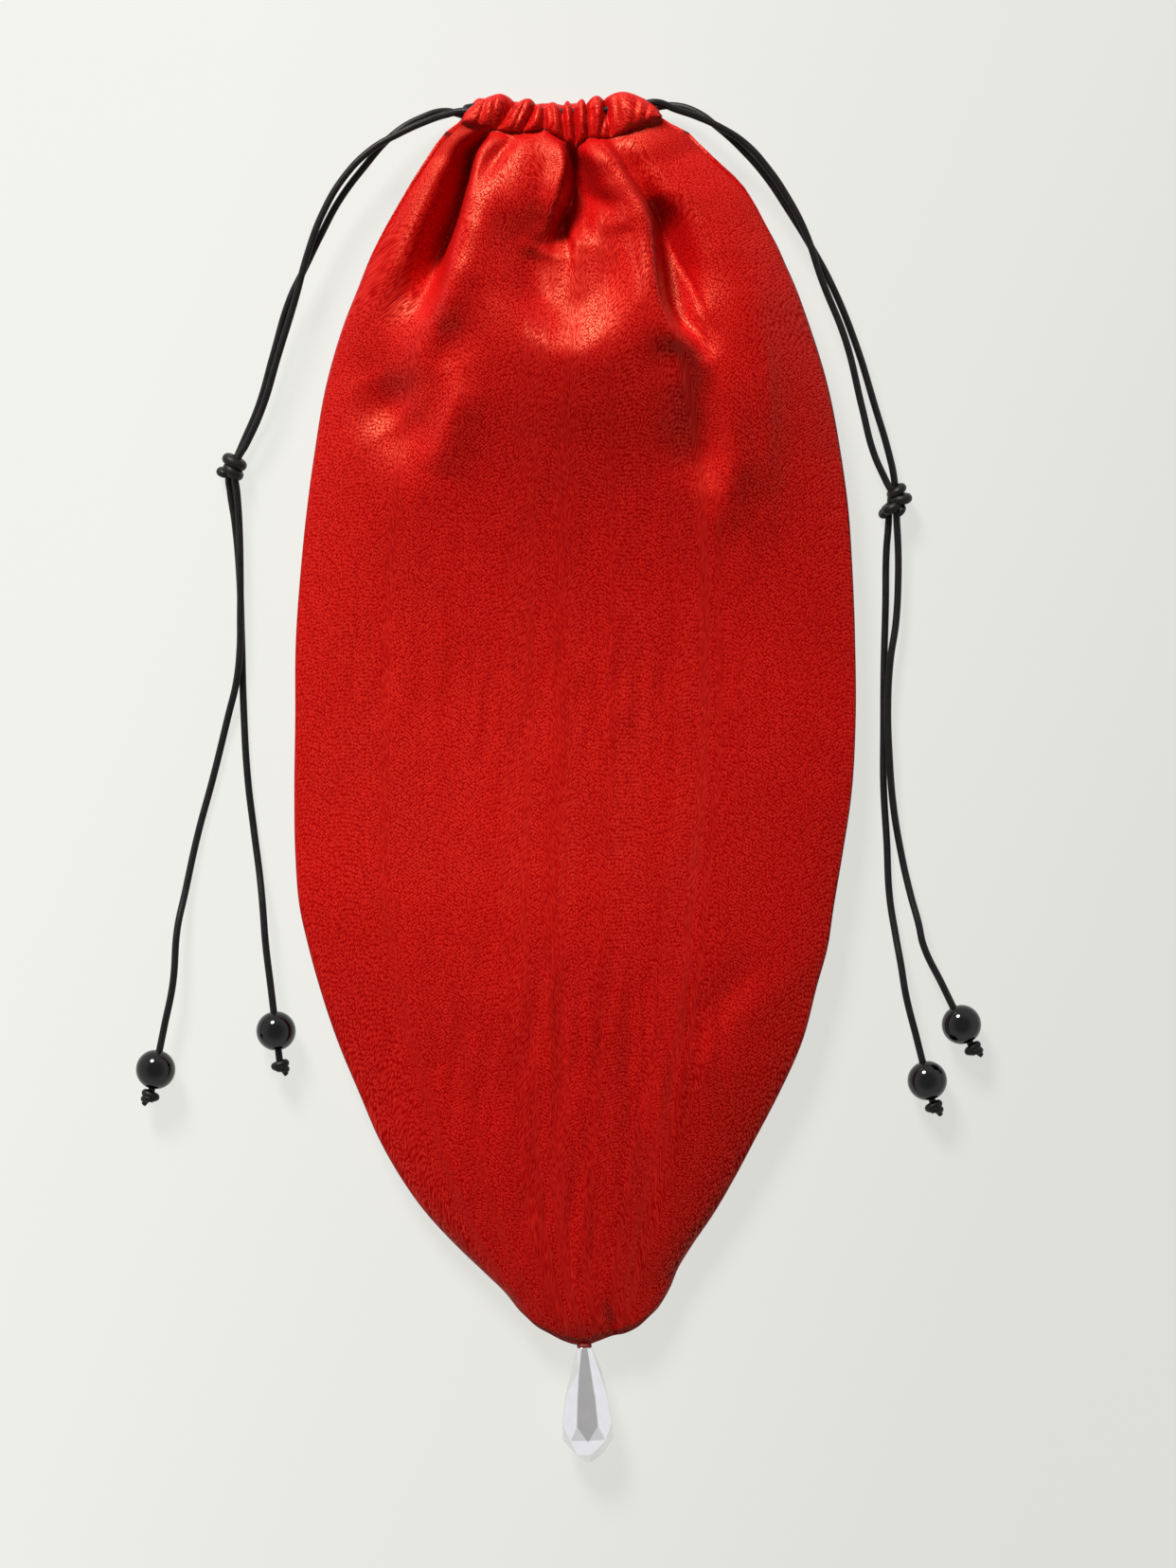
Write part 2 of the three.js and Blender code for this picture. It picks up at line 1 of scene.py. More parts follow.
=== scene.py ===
# %% [markdown]
# # A kinchaku: a gathered drawstring pouch
# A leaf-shaped pouch of red satin-woven cloth lies on its back. Its mouth is gathered on two black
# leather drawstrings, each string ends in two glossy beads, and a polished teardrop hangs at the tip.
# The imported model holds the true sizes. This script dresses it: finer cloth, cords, knots and finishes.

# %% Load the frame
import math

import bmesh
import bpy
import numpy as np
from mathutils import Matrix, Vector


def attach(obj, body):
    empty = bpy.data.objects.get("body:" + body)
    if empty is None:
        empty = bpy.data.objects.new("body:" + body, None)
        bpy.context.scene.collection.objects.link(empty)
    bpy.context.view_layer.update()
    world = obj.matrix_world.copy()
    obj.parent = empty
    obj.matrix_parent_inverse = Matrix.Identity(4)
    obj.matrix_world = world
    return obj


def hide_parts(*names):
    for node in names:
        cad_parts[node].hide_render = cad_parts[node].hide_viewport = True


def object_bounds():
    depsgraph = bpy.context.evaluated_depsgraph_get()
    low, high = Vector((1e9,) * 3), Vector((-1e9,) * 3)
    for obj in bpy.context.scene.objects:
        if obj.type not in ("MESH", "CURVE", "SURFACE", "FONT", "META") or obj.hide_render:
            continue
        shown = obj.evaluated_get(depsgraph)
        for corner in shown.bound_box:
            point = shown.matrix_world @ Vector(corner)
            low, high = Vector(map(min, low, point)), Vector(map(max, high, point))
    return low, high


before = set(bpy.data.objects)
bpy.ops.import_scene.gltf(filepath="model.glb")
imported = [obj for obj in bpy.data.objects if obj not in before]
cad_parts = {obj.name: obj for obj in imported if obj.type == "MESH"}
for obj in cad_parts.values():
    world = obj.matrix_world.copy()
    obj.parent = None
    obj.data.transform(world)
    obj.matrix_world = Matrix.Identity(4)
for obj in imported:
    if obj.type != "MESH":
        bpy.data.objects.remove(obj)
cad_low, cad_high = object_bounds()
MM = 0.001  # every length below is in millimetres, and turned to metres where an object is made
print("nodes:", len(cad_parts), "size, mm:", [round(v / MM, 1) for v in cad_high - cad_low])

# %% [markdown]
# ## Camera
# A pouch on a table is photographed from straight above. A long lens from 1.5 m keeps its outline true.
# One picture is 1242 x 1656 pixels, and a pixel on the cloth's edge is 0.238 mm. The crown of the cloth
# is nearer to the lens, so it looks a little larger: at_px() takes that back out.

# %% Camera
PICTURE_TALL = 1656
PICTURE_CENTRE = (621, 828)
ORIGIN_PX = (607.5, 821.5)  # the pixel over the frame's origin
PIXEL = 0.238
LENS_HEIGHT = 1500.0
EDGE_HEIGHT = 7.0  # height of the plane in which a pixel is 0.238 mm
SENSOR = 36.0


def at_px(px, py, z=EDGE_HEIGHT):
    """Where a pixel's point is on the level z, in millimetres."""
    nearer = 1 - (z - EDGE_HEIGHT) / LENS_HEIGHT
    px = PICTURE_CENTRE[0] + (np.asarray(px, float) - PICTURE_CENTRE[0]) * nearer
    py = PICTURE_CENTRE[1] + (np.asarray(py, float) - PICTURE_CENTRE[1]) * nearer
    return (px - ORIGIN_PX[0]) * PIXEL, (ORIGIN_PX[1] - py) * PIXEL


camera = bpy.data.objects.new("camera", bpy.data.cameras.new("camera"))
bpy.context.scene.collection.objects.link(camera)
bpy.context.scene.camera = camera
centre_x, centre_y = at_px(*PICTURE_CENTRE)
camera.location = (centre_x * MM, centre_y * MM, (EDGE_HEIGHT + LENS_HEIGHT) * MM)
camera.data.sensor_fit = "AUTO"
camera.data.sensor_width = SENSOR
camera.data.lens = SENSOR * LENS_HEIGHT / (PICTURE_TALL * PIXEL)
print("lens, mm:", round(camera.data.lens, 1))

# %% [markdown]
# ## Small tools
# A few helpers are used all through: they turn a sheet of points into a mesh, draw a smooth line through
# rows of numbers, make a tube, and add a shader node with its settings and links.

# %% Meshes from grids of points
def add_object(name, data):
    piece = bpy.data.objects.new(name, data)
    bpy.context.scene.collection.objects.link(piece)
    return piece


def mesh_of(name, points, faces, smooth=True):
    mesh = bpy.data.meshes.new(name)
    mesh.from_pydata([tuple(p) for p in np.asarray(points, float) * MM], [], faces)
    mesh.polygons.foreach_set("use_smooth", [smooth] * len(mesh.polygons))
    mesh.update()
    return add_object(name, mesh)


def grid_faces(rows, columns, wrap=False, closed=False):
    """Quads of a grid. wrap joins its last column to the first, and closed its last row to the first."""
    faces = []
    for r in range(rows if closed else rows - 1):
        for c in range(columns if wrap else columns - 1):
            d, below = (c + 1) % columns, (r + 1) % rows
            faces.append((r * columns + c, below * columns + c, below * columns + d, r * columns + d))
    return faces


def triangles(piece):
    return sum(len(p.vertices) - 2 for p in piece.data.polygons)


# %% Smooth lines
def smooth_line(rows, where):
    """The values of rows of (place, value, ...) at any places, along a smooth curve."""
    rows = np.asarray(rows, float)
    places, values = rows[:, 0], rows[:, 1:]
    slopes = np.gradient(values, places, axis=0)
    where = np.clip(np.asarray(where, float), places[0], places[-1])
    i = np.clip(np.searchsorted(places, where) - 1, 0, len(places) - 2)
    step = (places[i + 1] - places[i])[..., None]
    f = (where[..., None] - places[i][..., None]) / step
    f2, f3 = f * f, f * f * f
    return (
        (2 * f3 - 3 * f2 + 1) * values[i]
        + (f3 - 2 * f2 + f) * step * slopes[i]
        + (3 * f2 - 2 * f3) * values[i + 1]
        + (f3 - f2) * step * slopes[i + 1]
    )


def through(points, step):
    """Points a step apart on a smooth curve through the given points."""
    points = np.asarray(points, float)
    lengths = np.linalg.norm(np.diff(points, axis=0), axis=1)
    along = np.concatenate([[0], np.cumsum(lengths)])
    places = np.linspace(0, along[-1], max(2, int(round(along[-1] / step)) + 1))
    return smooth_line(np.column_stack([along, points]), places)


def ease(start, end, value):
    f = np.clip((np.asarray(value, float) - start) / (end - start), 0, 1)
    return f * f * (3 - 2 * f)


# %% Tubes
def tube_points(line, radius, sides, closed=False):
    """A grid of points round a line: one row for each of its points."""
    line = np.asarray(line, float)
    ahead, behind = np.roll(line, -1, axis=0), np.roll(line, 1, axis=0)
    if not closed:
        ahead[-1], behind[0] = line[-1], line[0]
    tangent = ahead - behind
    tangent /= np.linalg.norm(tangent, axis=1)[:, None]
    side = np.cross(tangent[0], (0.31, 0.17, 0.94))
    sides_of = []
    for t in tangent:
        side = side - t * (side @ t)
        side /= np.linalg.norm(side)
        sides_of.append(side)
    sides_of = np.array(sides_of)
    other = np.cross(tangent, sides_of)
    angle = np.linspace(0, 2 * math.pi, sides, endpoint=False)
    radius = np.broadcast_to(np.asarray(radius, float), len(line))[:, None, None]
    ring = np.cos(angle)[None, :, None] * sides_of[:, None] + np.sin(angle)[None, :, None] * other[:, None]
    return line[:, None] + radius * ring


def tubes(name, parts, sides=14):
    """One mesh of several tubes. A part is (line, radius, closed)."""
    points, faces = [], []
    for line, radius, closed in parts:
        grid = tube_points(line, radius, sides, closed)
        start, rows = len(points), len(grid)
        points.extend(grid.reshape(-1, 3))
        made = grid_faces(rows, sides, wrap=True, closed=closed)
        if not closed:
            made += [tuple(range(sides)), tuple(reversed(range((rows - 1) * sides, rows * sides)))]
        faces += [tuple(start + i for i in face) for face in made]
    return mesh_of(name, points, faces)


# %% Shader nodes
def linear(hex_code):
    """An sRGB hex colour as the linear numbers that shaders use."""
    channels = [int(hex_code[i : i + 2], 16) / 255 for i in (0, 2, 4)]
    return [c / 12.92 if c <= 0.04045 else ((c + 0.055) / 1.055) ** 2.4 for c in channels] + [1.0]


def set_up(tree, node, settings=None, **links):
    """Settings are sockets, by name or number, and the node's own ones; ramp gives places and colours.
    A link is given by its socket's name, with _ for a space, or by n and the socket's number."""
    for key, value in (settings or {}).items():
        if key == "ramp":
            for stop, (place, colour) in zip(node.color_ramp.elements, value):
                stop.position, stop.color = place, linear(colour)
        elif isinstance(key, str) and hasattr(node, key):
            setattr(node, key, value)
        else:
            node.inputs[key].default_value = value
    for name, source in links.items():
        socket = int(name[1:]) if name[1:].isdigit() else name.replace("_", " ")
        tree.links.new(source, node.inputs[socket])
    return node


def add_node(tree, kind, settings=None, **links):
    return set_up(tree, tree.nodes.new("ShaderNode" + kind), settings, **links)


# %% Materials and pieces
def new_material(name):
    material = bpy.data.materials.new(name)
    material.use_nodes = True
    tree = material.node_tree
    return material, tree, tree.nodes["Principled BSDF"]


def dress(piece, material, body, slot, *nodes):
    """Gives a piece its material, its body and the nodes that it stands for. The slot is not used."""
    piece.data.materials.clear()
    piece.data.materials.append(material)
    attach(piece, body)
    if nodes:
        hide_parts(*nodes)
    return piece


# %% [markdown]
# ## Leather for the cords
# Round leather cord is cut from hide, rolled, dyed through and waxed. A wax finish gives soft grey
# highlights, and the dyed grain breaks them up. The grain's cells are about 0.35 mm.

# %% Waxed round leather
CORD = 1.8
LEATHER_GRAIN, SCUFF = 0.35, 2.5


def waxed_leather():
    material, tree, surface = new_material("waxed_black_leather")
    place = add_node(tree, "TexCoord").outputs["Object"]
    cells = add_node(tree, "TexVoronoi", {"Scale": 1 / (LEATHER_GRAIN * MM)}, Vector=place)
    scuffs = add_node(tree, "TexNoise", {"Scale": 1 / (SCUFF * MM), "Detail": 5.0}, Vector=place)
    dye = add_node(tree, "ValToRGB", {"ramp": [(0.35, "0a0908"), (0.75, "1a1615")]}, Fac=scuffs.outputs["Fac"])
    wear = add_node(tree, "MapRange", {"To Min": 0.36, "To Max": 0.54}, Value=scuffs.outputs["Fac"])
    grain = add_node(tree, "Bump", {"Strength": 0.5, "Distance": 0.05 * MM}, Height=cells.outputs["Distance"])
    set_up(
        tree, surface, {"Specular IOR Level": 0.22},
        Base_Color=dye.outputs["Color"], Roughness=wear.outputs["Result"], Normal=grain.outputs["Normal"],
    )
    return material


leather = waxed_leather()

# %% [markdown]
# ## Drawstrings
# Two strings run through the casing in opposite directions, so that pulling both closes the mouth. Each
# leaves as two strands, which are tied together in a main knot, and goes on as two tails. A free cord is
# one curve: from inside the casing, out of its end, through the knot and the bead to the stopper knot.
# The points are the route that the cords really lie on. The length is the curve's own.

# %% Cords inside the casing
MOUTH_SHIFT, MOUTH_HALF = -3.6, 25.0
FRONT_CASING_Z, BACK_CASING_Z = 14.0, 3.0
CASING_TOP = cad_high.y / MM
CORD_BELOW_TOP, CASING_BOW = 3.7, 2.6  # where the cords run in the casing, and how far it bows down
CORD_SPACING = 2.2
BEAD = 10.0
FLOOR_CORD = CORD / 2 + 0.15
UPPER_CORD = FLOOR_CORD + CORD_SPACING


def in_casing(across, z, offset):
    """A point of a cord inside the casing; across is -1 at its left end and 1 at its right."""
    y = CASING_TOP - CORD_BELOW_TOP - CASING_BOW * (1 - across * across) + offset
    return (MOUTH_SHIFT + across * MOUTH_HALF, y, z)


print("casing height, mm:", FRONT_CASING_Z, "front,", BACK_CASING_Z, "back")

# %% Routes from the casing to the main knots
STRANDS = {
    "left_front": [
        (-32.7, 166, 12.4), (-36.8, 164.8, 10.9), (-44.1, 161.7, 9.6), (-51.3, 157.6, 9.2),
        (-58, 150.8, 9.2), (-63.4, 141.7, 9), (-67, 132.2, 8.7), (-70.5, 119.6, 8),
        (-74.8, 105.7, 7), (-78.7, 93, 5.9), (-82.8, 84, 4.9), (-85.2, 79.8, 4.5),
    ],
    "left_back": [
        (-32.7, 167.9, 3.8), (-38.6, 166.1, 5.4), (-45.5, 161.9, 6.6), (-53.5, 153, 6.9),
        (-59.4, 145, 6.8), (-64.1, 136.2, 6.6), (-68, 128.2, 6.3), (-71.8, 120.4, 5.7),
        (-76, 106.5, 4.7), (-79.7, 93.8, 3.6), (-83.4, 85.2, 2.6), (-85.6, 80.2, 2.4),
    ],
    "right_front": [
        (25, 167.5, 12.4), (30.3, 165.9, 10.6), (36.3, 163.3, 9.6), (42.7, 159.2, 9.2),
        (48.2, 153.2, 9.2), (53.3, 145.7, 9), (57.7, 137.2, 8.8), (62, 124.9, 8.2),
        (68, 109.8, 7.2), (72.2, 92.9, 6), (75.1, 81.8, 5.1), (78.4, 74.4, 4.6), (79.7, 71.6, 4.5),
    ],
    "right_back": [
        (25, 169.3, 3.9), (30.3, 167.6, 5.5), (35.8, 163.6, 6.6), (42.7, 157.2, 6.9),
        (48.2, 150.8, 6.8), (53.3, 143.2, 6.6), (58.9, 134.2, 6.4), (64.2, 124.6, 5.9),
        (70.4, 109.8, 4.7), (75.7, 92.9, 3.6), (78.7, 83, 2.9), (80.4, 75.4, 2.4), (80.6, 72, 2.4),
    ],
}

# %% Routes of the tails
# Each tail: its strand, the bead's centre, the way that the cord leaves it, and bare cord below it.
TAILS = {
    "left_outer": {
        "strand": "left_front", "bead": (-105.6, -73.4), "heading": (-0.2, -1), "slack": 0,
        "route": [
            (-85.7, 76.4, 4.5), (-85.2, 72, 4), (-84.7, 64.4, UPPER_CORD), (-84.4, 52.2, UPPER_CORD),
            (-84.4, 40.1, UPPER_CORD), (-84.5, 32.7, UPPER_CORD), (-85.4, 24.2, UPPER_CORD - 0.2),
            (-87.5, 15.8, 1.6), (-91.3, 0.4, FLOOR_CORD), (-95.3, -14.5, FLOOR_CORD),
            (-98.4, -29, 2.2), (-100.2, -38, 4.2),
        ],
    },
    "left_inner": {
        "strand": "left_back", "bead": (-75.3, -63.7), "heading": (0.12, -1), "slack": 2,
        "route": [
            (-87.3, 76.4, 2.4), (-87, 72, 1.9), (-85.9, 64.4, FLOOR_CORD), (-84.8, 52.2, FLOOR_CORD),
            (-84.2, 36, FLOOR_CORD), (-83.7, 18, FLOOR_CORD), (-82.7, 0.4, FLOOR_CORD),
            (-80.9, -14.5, FLOOR_CORD + 0.5), (-79.6, -24, 2.8), (-78.8, -31, 4.4),
        ],
    },
    "right_outer": {
        "strand": "right_back", "bead": (97.2, -62.1), "heading": (0.48, -1), "slack": 0,
        "route": [
            (80.8, 68.2, 4.5), (81, 64, 4.1), (81.3, 59, 3.6), (81.4, 51, 3.1), (80.8, 39.1, 3.1),
            (79.4, 29.5, 3), (78.8, 18, 2.8), (79.2, 5, 2.8), (80.2, -7, 2.2),
            (82.2, -19, FLOOR_CORD + 0.4), (84.4, -29, 2.6), (86.4, -36.5, 4.3),
        ],
    },
    "right_inner": {
        "strand": "right_front", "bead": (88.6, -76.2), "heading": (0.25, -1), "slack": 0,
        "route": [
            (79.2, 68.2, 2.4), (79, 64, 1.9), (78.5, 57, FLOOR_CORD), (78.3, 43.7, FLOOR_CORD),
            (77.9, 28, FLOOR_CORD), (77.8, 12, FLOOR_CORD), (77.8, -2, FLOOR_CORD),
            (78.6, -16, FLOOR_CORD), (79.3, -30, FLOOR_CORD + 0.3), (80.8, -40, 2.8), (82, -47, 4.4),
        ],
    },
}


def tail_frame(tail):
    """The bead's centre, and the direction of the cord through it."""
    heading = Vector((*tail["heading"], 0)).normalized()
    return Vector((*tail["bead"], BEAD / 2)), heading


# %% Free cords as curves
def cord_curve(name, points):
    curve = bpy.data.curves.new(name, "CURVE")
    curve.dimensions = "3D"
    curve.bevel_depth = CORD / 2 * MM
    curve.bevel_resolution = 5
    curve.resolution_u = 8
    curve.use_fill_caps = True
    spline = curve.splines.new("BEZIER")
    spline.bezier_points.add(len(points) - 1)
    for knot, point in zip(spline.bezier_points, points):
        knot.co = [v * MM for v in point]
        knot.handle_left_type = knot.handle_right_type = "AUTO"
    spline.use_smooth = True
    return add_object(name, curve)


def drawn_length(curve_object):
    """A curve's own length in metres, measured along its centreline."""
    return sum(s.calc_length() for s in curve_object.data.splines)


free_cords, cord_exits = {}, {}
for tail_name, tail in TAILS.items():
    side = -1 if tail_name.startswith("left") else 1
    casing_z = FRONT_CASING_Z if tail["strand"].endswith("front") else BACK_CASING_Z
    offset = side * CORD_SPACING / 2
    centre, heading = tail_frame(tail)
    cord_end = BEAD / 2 + 0.3 + tail["slack"]
    straight = [centre + heading * d for d in (-22, -11, 0, cord_end + 1.2)]
    start = [in_casing(side * across, casing_z, offset) for across in (0.45, 0.75, 0.96)]
    points = start + STRANDS[tail["strand"]] + tail["route"] + [tuple(p) for p in straight]
    cord = cord_curve(f"cord_{tail_name}", points)
    nodes = [f"cord_{tail_name}_tail", f"cord_{tail_name.split('_')[0]}_loop"]
    free_cords[tail_name] = dress(cord, leather, "root", "leather", *nodes)
    cord_exits[tail_name] = [v * MM for v in in_casing(side, casing_z, offset)]
    print(cord.name, "length, mm:", round(drawn_length(cord) / MM, 1))

# %% [markdown]
# Inside the casing each string runs to the far end, turns round from the front casing to the back one
# and comes back. Only the turn shows, in the mouth's corner.

# %% The runs inside the casing
TURN_RADIUS = (FRONT_CASING_Z - BACK_CASING_Z) / 2
VENT = TURN_RADIUS + CORD / 2 + 0.3
for side, side_name in ((-1, "left"), (1, "right")):
    offset = side * CORD_SPACING / 2
    turn_x = MOUTH_SHIFT - side * MOUTH_HALF + side * VENT
    turn_y = in_casing(side * 0.75, 0, offset)[1]
    there = [in_casing(side * a, FRONT_CASING_Z, offset) for a in (0.45, 0, -0.4)]
    back_again = [in_casing(side * a, BACK_CASING_Z, offset) for a in (-0.4, 0, 0.45)]
    middle = (FRONT_CASING_Z + BACK_CASING_Z) / 2
    turn = []
    for degrees in (90, 60, 0, -60, -90):
        angle = math.radians(degrees)
        turn.append((turn_x - side * TURN_RADIUS * math.cos(angle), turn_y, middle + TURN_RADIUS * math.sin(angle)))
    run = cord_curve(f"cord_{side_name}_in_casing", there + turn + back_again)
    dress(run, leather, "root", "leather", f"cord_{side_name}_loop")
    print(run.name, "length, mm:", round(drawn_length(run) / MM, 1))

# %% [markdown]
# ## Main knots
# Both strands of a string are tied in one overhand knot and drawn tight. From above it shows as fat,
# tilted bands round the cords. A knot of tubes along a true overhand path hardly reads at this size, so
# each band is a closed ring of cord in the place, tilt and length that it shows.

# %% Main knots
KNOT_Z = 3.5


def knot_ring(px, py, reach, deep, tilt, thick, z=KNOT_Z):
    """A closed ring of cord. Its long way lies at the tilt, in degrees, and it goes deep below and above."""
    x, y = at_px(px, py)
    angle = np.linspace(0, 2 * math.pi, 28, endpoint=False)
    turn = math.radians(tilt)
    along = (reach - thick) * np.cos(angle)
    bow = 0.35 * np.sin(angle)  # the front of a band lies a little lower than its back
    return (
        np.column_stack([
            x + along * math.cos(turn) + bow * math.sin(turn),
            y + along * math.sin(turn) - bow * math.cos(turn),
            z + (deep - thick) * np.sin(angle),
        ]),
        thick,
        True,
    )


def knot_core(px, py, half_length, radius, tilt):
    x, y = at_px(px, py)
    turn = math.radians(tilt)
    steps = np.linspace(-1, 1, 9)
    line = np.column_stack([
        x + steps * half_length * math.cos(turn), y + steps * half_length * math.sin(turn), steps * 0 + KNOT_Z
    ])
    return line, radius * np.sqrt(1.02 - steps**2 * 0.9), False


# %% Both main knots
# Each band: picture x and y, how far it reaches, how deep it goes, its tilt and its thickness.
main_knots = {
    "left": tubes("main_knot_left", [
        knot_ring(246.8, 487.2, 3.35, 3.4, -28, 1.42),
        knot_ring(245.4, 497.2, 2.95, 3.3, -38, 1.32),
        knot_ring(236.0, 498.0, 2.1, 2.5, -14, 1.12, 3.0),
        knot_core(245, 493, 2.2, 2.1, 80),
    ]),
    "right": tubes("main_knot_right", [
        knot_ring(947.6, 517.8, 2.75, 3.2, 34, 1.15),
        knot_ring(952.2, 526.4, 2.9, 3.4, 10, 1.3),
        knot_ring(942.6, 535.2, 2.9, 3.4, 28, 1.3),
        knot_ring(951.0, 538.4, 1.9, 2.6, 55, 0.95),
        knot_ring(934.4, 541.0, 1.55, 1.9, 60, 0.95, 2.6),
        knot_core(946, 528, 2.2, 2.0, 100),
    ]),
}
for side_name, knot in main_knots.items():
    dress(knot, leather, "root", "leather", f"knot_{side_name}")
    print(knot.name, triangles(knot), "triangles")

# %% [markdown]
# ## Stopper knots
# Below each bead the tail ends in a small overhand knot and a cut end, so that the bead can't slip off.
# They are made in the bead's own frame: the cord comes down along -Y.

# %% Stopper knots
def stopper(name, tail, lean):
    centre, heading = tail_frame(tail)
    sideways = Vector((-heading.y, heading.x, 0))  # the viewer's right when the cord runs down
    top = centre + heading * (BEAD / 2 + 0.6 + tail["slack"])

    def put(x, y, z):
        return top + sideways * x - heading * y + Vector((0, 0, z))

    def ring(x, y, reach, deep, tilt, thick):
        turn = math.radians(tilt)
        line = []
        for angle in np.linspace(0, 2 * math.pi, 24, endpoint=False):
            along = (reach - thick) * math.cos(angle)
            up = (deep - thick) * math.sin(angle)
            line.append(put(x + along * math.cos(turn), y + along * math.sin(turn), up))
        return line, thick, True

    end = [put(0, 0.4, 0), put(0.2 * lean, -1.6, 0), put(0.8 * lean, -2.8, -0.2), put(1.3 * lean, -3.6, -0.5)]
    return tubes(name, [
        ring(0, -0.95, 2.4, 2.1, 12 * lean, 1.05),
        ring(0.15 * lean, -1.85, 2.2, 2.0, -16 * lean, 0.95),
        ([put(-0.9 * lean, -1.4, 0), put(0, -1.4, 0), put(0.9 * lean, -1.4, 0)], 1.4, False),
        (through(end, 0.5), 0.66, False),
    ], sides=12)


LEANS = {"left_outer": -1, "left_inner": 1, "right_outer": 1, "right_inner": 1}
for tail_name, tail in TAILS.items():
    knot = stopper(f"stopper_{tail_name}", tail, LEANS[tail_name])
    dress(knot, leather, "root", "leather", f"stopper_knot_{tail_name}")

# %% [markdown]
# ## Beads
# Black glass beads are wound or pressed, drilled and fire-polished, so they mirror the room. Glass has an
# IOR of about 1.5, and 1.42 gives the soft mirror images that these beads show.

# %% Fire-polished black glass
CLOUD = 6.0  # the size of the faint clouds and ripples in the glass


def black_glass():
    material, tree, surface = new_material("fire_polished_black_glass")
    place = add_node(tree, "TexCoord").outputs["Object"]
    cloud = add_node(tree, "TexNoise", {"Scale": 1 / (CLOUD * MM), "Detail": 2.0}, Vector=place).outputs["Fac"]
    tone = add_node(tree, "ValToRGB", {"ramp": [(0, "020202"), (1, "070607")]}, Fac=cloud)
    ripple = add_node(tree, "Bump", {"Strength": 0.08, "Distance": 0.05 * MM}, Height=cloud)
    set_up(
        tree, surface, {"Roughness": 0.035, "IOR": 1.42},
        Base_Color=tone.outputs["Color"], Normal=ripple.outputs["Normal"],
    )
    return material


glass = black_glass()

# %% [markdown]
# A lathe profile with a softly rounded bore makes a true bead, where a plain sphere would have no hole.

# %% Beads
BORE = 2.4
BEAD_SIDES = 48


def bead(name, tail):
    centre, heading = tail_frame(tail)
    sideways = Vector((-heading.y, heading.x, 0))
    radius = BEAD / 2
    lip = math.asin((BORE / 2 + 0.25) / radius)
    outside = [(math.sin(a) * radius, math.cos(a) * radius) for a in np.linspace(lip, math.pi - lip, 30)]
    edge = math.cos(lip) * radius
    inside = [(BORE / 2 + 0.06, -edge + 0.06), (BORE / 2, -edge + 0.35), (BORE / 2, edge - 0.35),
              (BORE / 2 + 0.06, edge - 0.06)]
    profile = outside + inside
    angles = np.linspace(0, 2 * math.pi, BEAD_SIDES, endpoint=False)
    points = []
    for reach, along in profile:
        for a in angles:
            out = sideways * math.cos(a) + Vector((0, 0, 1)) * math.sin(a)
            points.append(centre + out * reach - heading * along)
    faces = grid_faces(len(profile), BEAD_SIDES, wrap=True, closed=True)
    return mesh_of(name, points, [tuple(reversed(f)) for f in faces])


for tail_name, tail in TAILS.items():
    made = bead(f"glass_bead_{tail_name}", tail)
    dress(made, glass, f"bead_{tail_name}", "bead", f"bead_{tail_name}")

for tail_name, cord in free_cords.items():
    side_name = tail_name.split("_")[0]

# %% [markdown]
# ## The cloth's shape
# Each panel is a leaf of cloth. Its outline is taken at its real places, from the gathered mouth to the
# round tip. Between the outline's two sides the cloth rises to a crown, a curve down the middle of the
# pouch. The gathers throw it into folds, and each fold follows a line of its own.

# %% Outline and crown
# Rows of the picture's height, and the left and right edge of the cloth there, in pixels.
OUTLINE = [
    (126, 487, 699), (134, 479, 712), (142, 472, 724), (150, 466, 732), (160, 459, 741), (180, 446, 762),
    (200, 433, 784), (220, 421, 798), (240, 409, 809), (260, 398, 820), (280, 388, 829), (300, 380, 838),
    (340, 364, 853), (400, 346, 872), (480, 332, 888), (540, 324, 896), (600, 318, 900), (680, 312.5, 903),
    (760, 312, 903.5), (840, 311, 899), (900, 312, 890), (960, 317, 880), (1000, 326, 874), (1040, 337, 863),
    (1100, 357, 847), (1160, 382, 820), (1200, 399, 799), (1240, 421, 778), (1280, 449, 755),
    (1320, 486, 728), (1340, 507, 716), (1360, 529, 708), (1372, 539, 701.5),
]
# The round bottom between the two lowest points of that outline: picture x, picture y.
BOTTOM = [
    (539, 1372), (545, 1380), (556, 1391), (566, 1400), (580, 1408), (594, 1415.5), (608, 1420),
    (619, 1420.5), (632, 1416), (645, 1411), (659, 1408), (675, 1400), (686, 1390), (696, 1380), (701.5, 1372),
]
# Rows of the picture's height and the crown's height above the table, in millimetres.
CROWN = [
    (120, 15.5), (142, 16.8), (165, 19.4), (200, 21.4), (270, 24), (320, 26.6), (360, 28.4), (382, 28.8),
    (420, 27.3), (480, 23.5), (560, 19.6), (640, 17.3), (720, 16.5), (800, 16.7), (880, 17.3), (960, 18),
    (1020, 17.9), (1080, 17.4), (1160, 16.1), (1240, 14.4), (1320, 12.2), (1370, 10.6), (1400, 9.2), (1421, 7.2),
]
# Below the mouth the sides roll up: picture y, and how much higher the left and the right side lie.
SIDE_ROLL = [
    (126, 0, 0), (140, 1.8, 1.6), (165, 5, 4.2), (205, 5.6, 4), (250, 5, 3.4), (310, 2.8, 2.6), (380, 0.4, 1.2),
    (480, 0, 0),
]
SEAM_Z, TIP_Z = 8.4, 6.0
MOUTH_PX = 126
LAST_ROW_PX = 1372


def seam_height(py, across):
    roll = smooth_line(SIDE_ROLL, py)
    right = ease(-0.7, 0.7, across)
    return SEAM_Z + (TIP_Z - SEAM_Z) * ease(1080, 1420, py) + roll[..., 0] * (1 - right) + roll[..., 1] * right


def edges_px(py):
    sides = smooth_line(OUTLINE, py)
    return sides[..., 0], sides[..., 1]


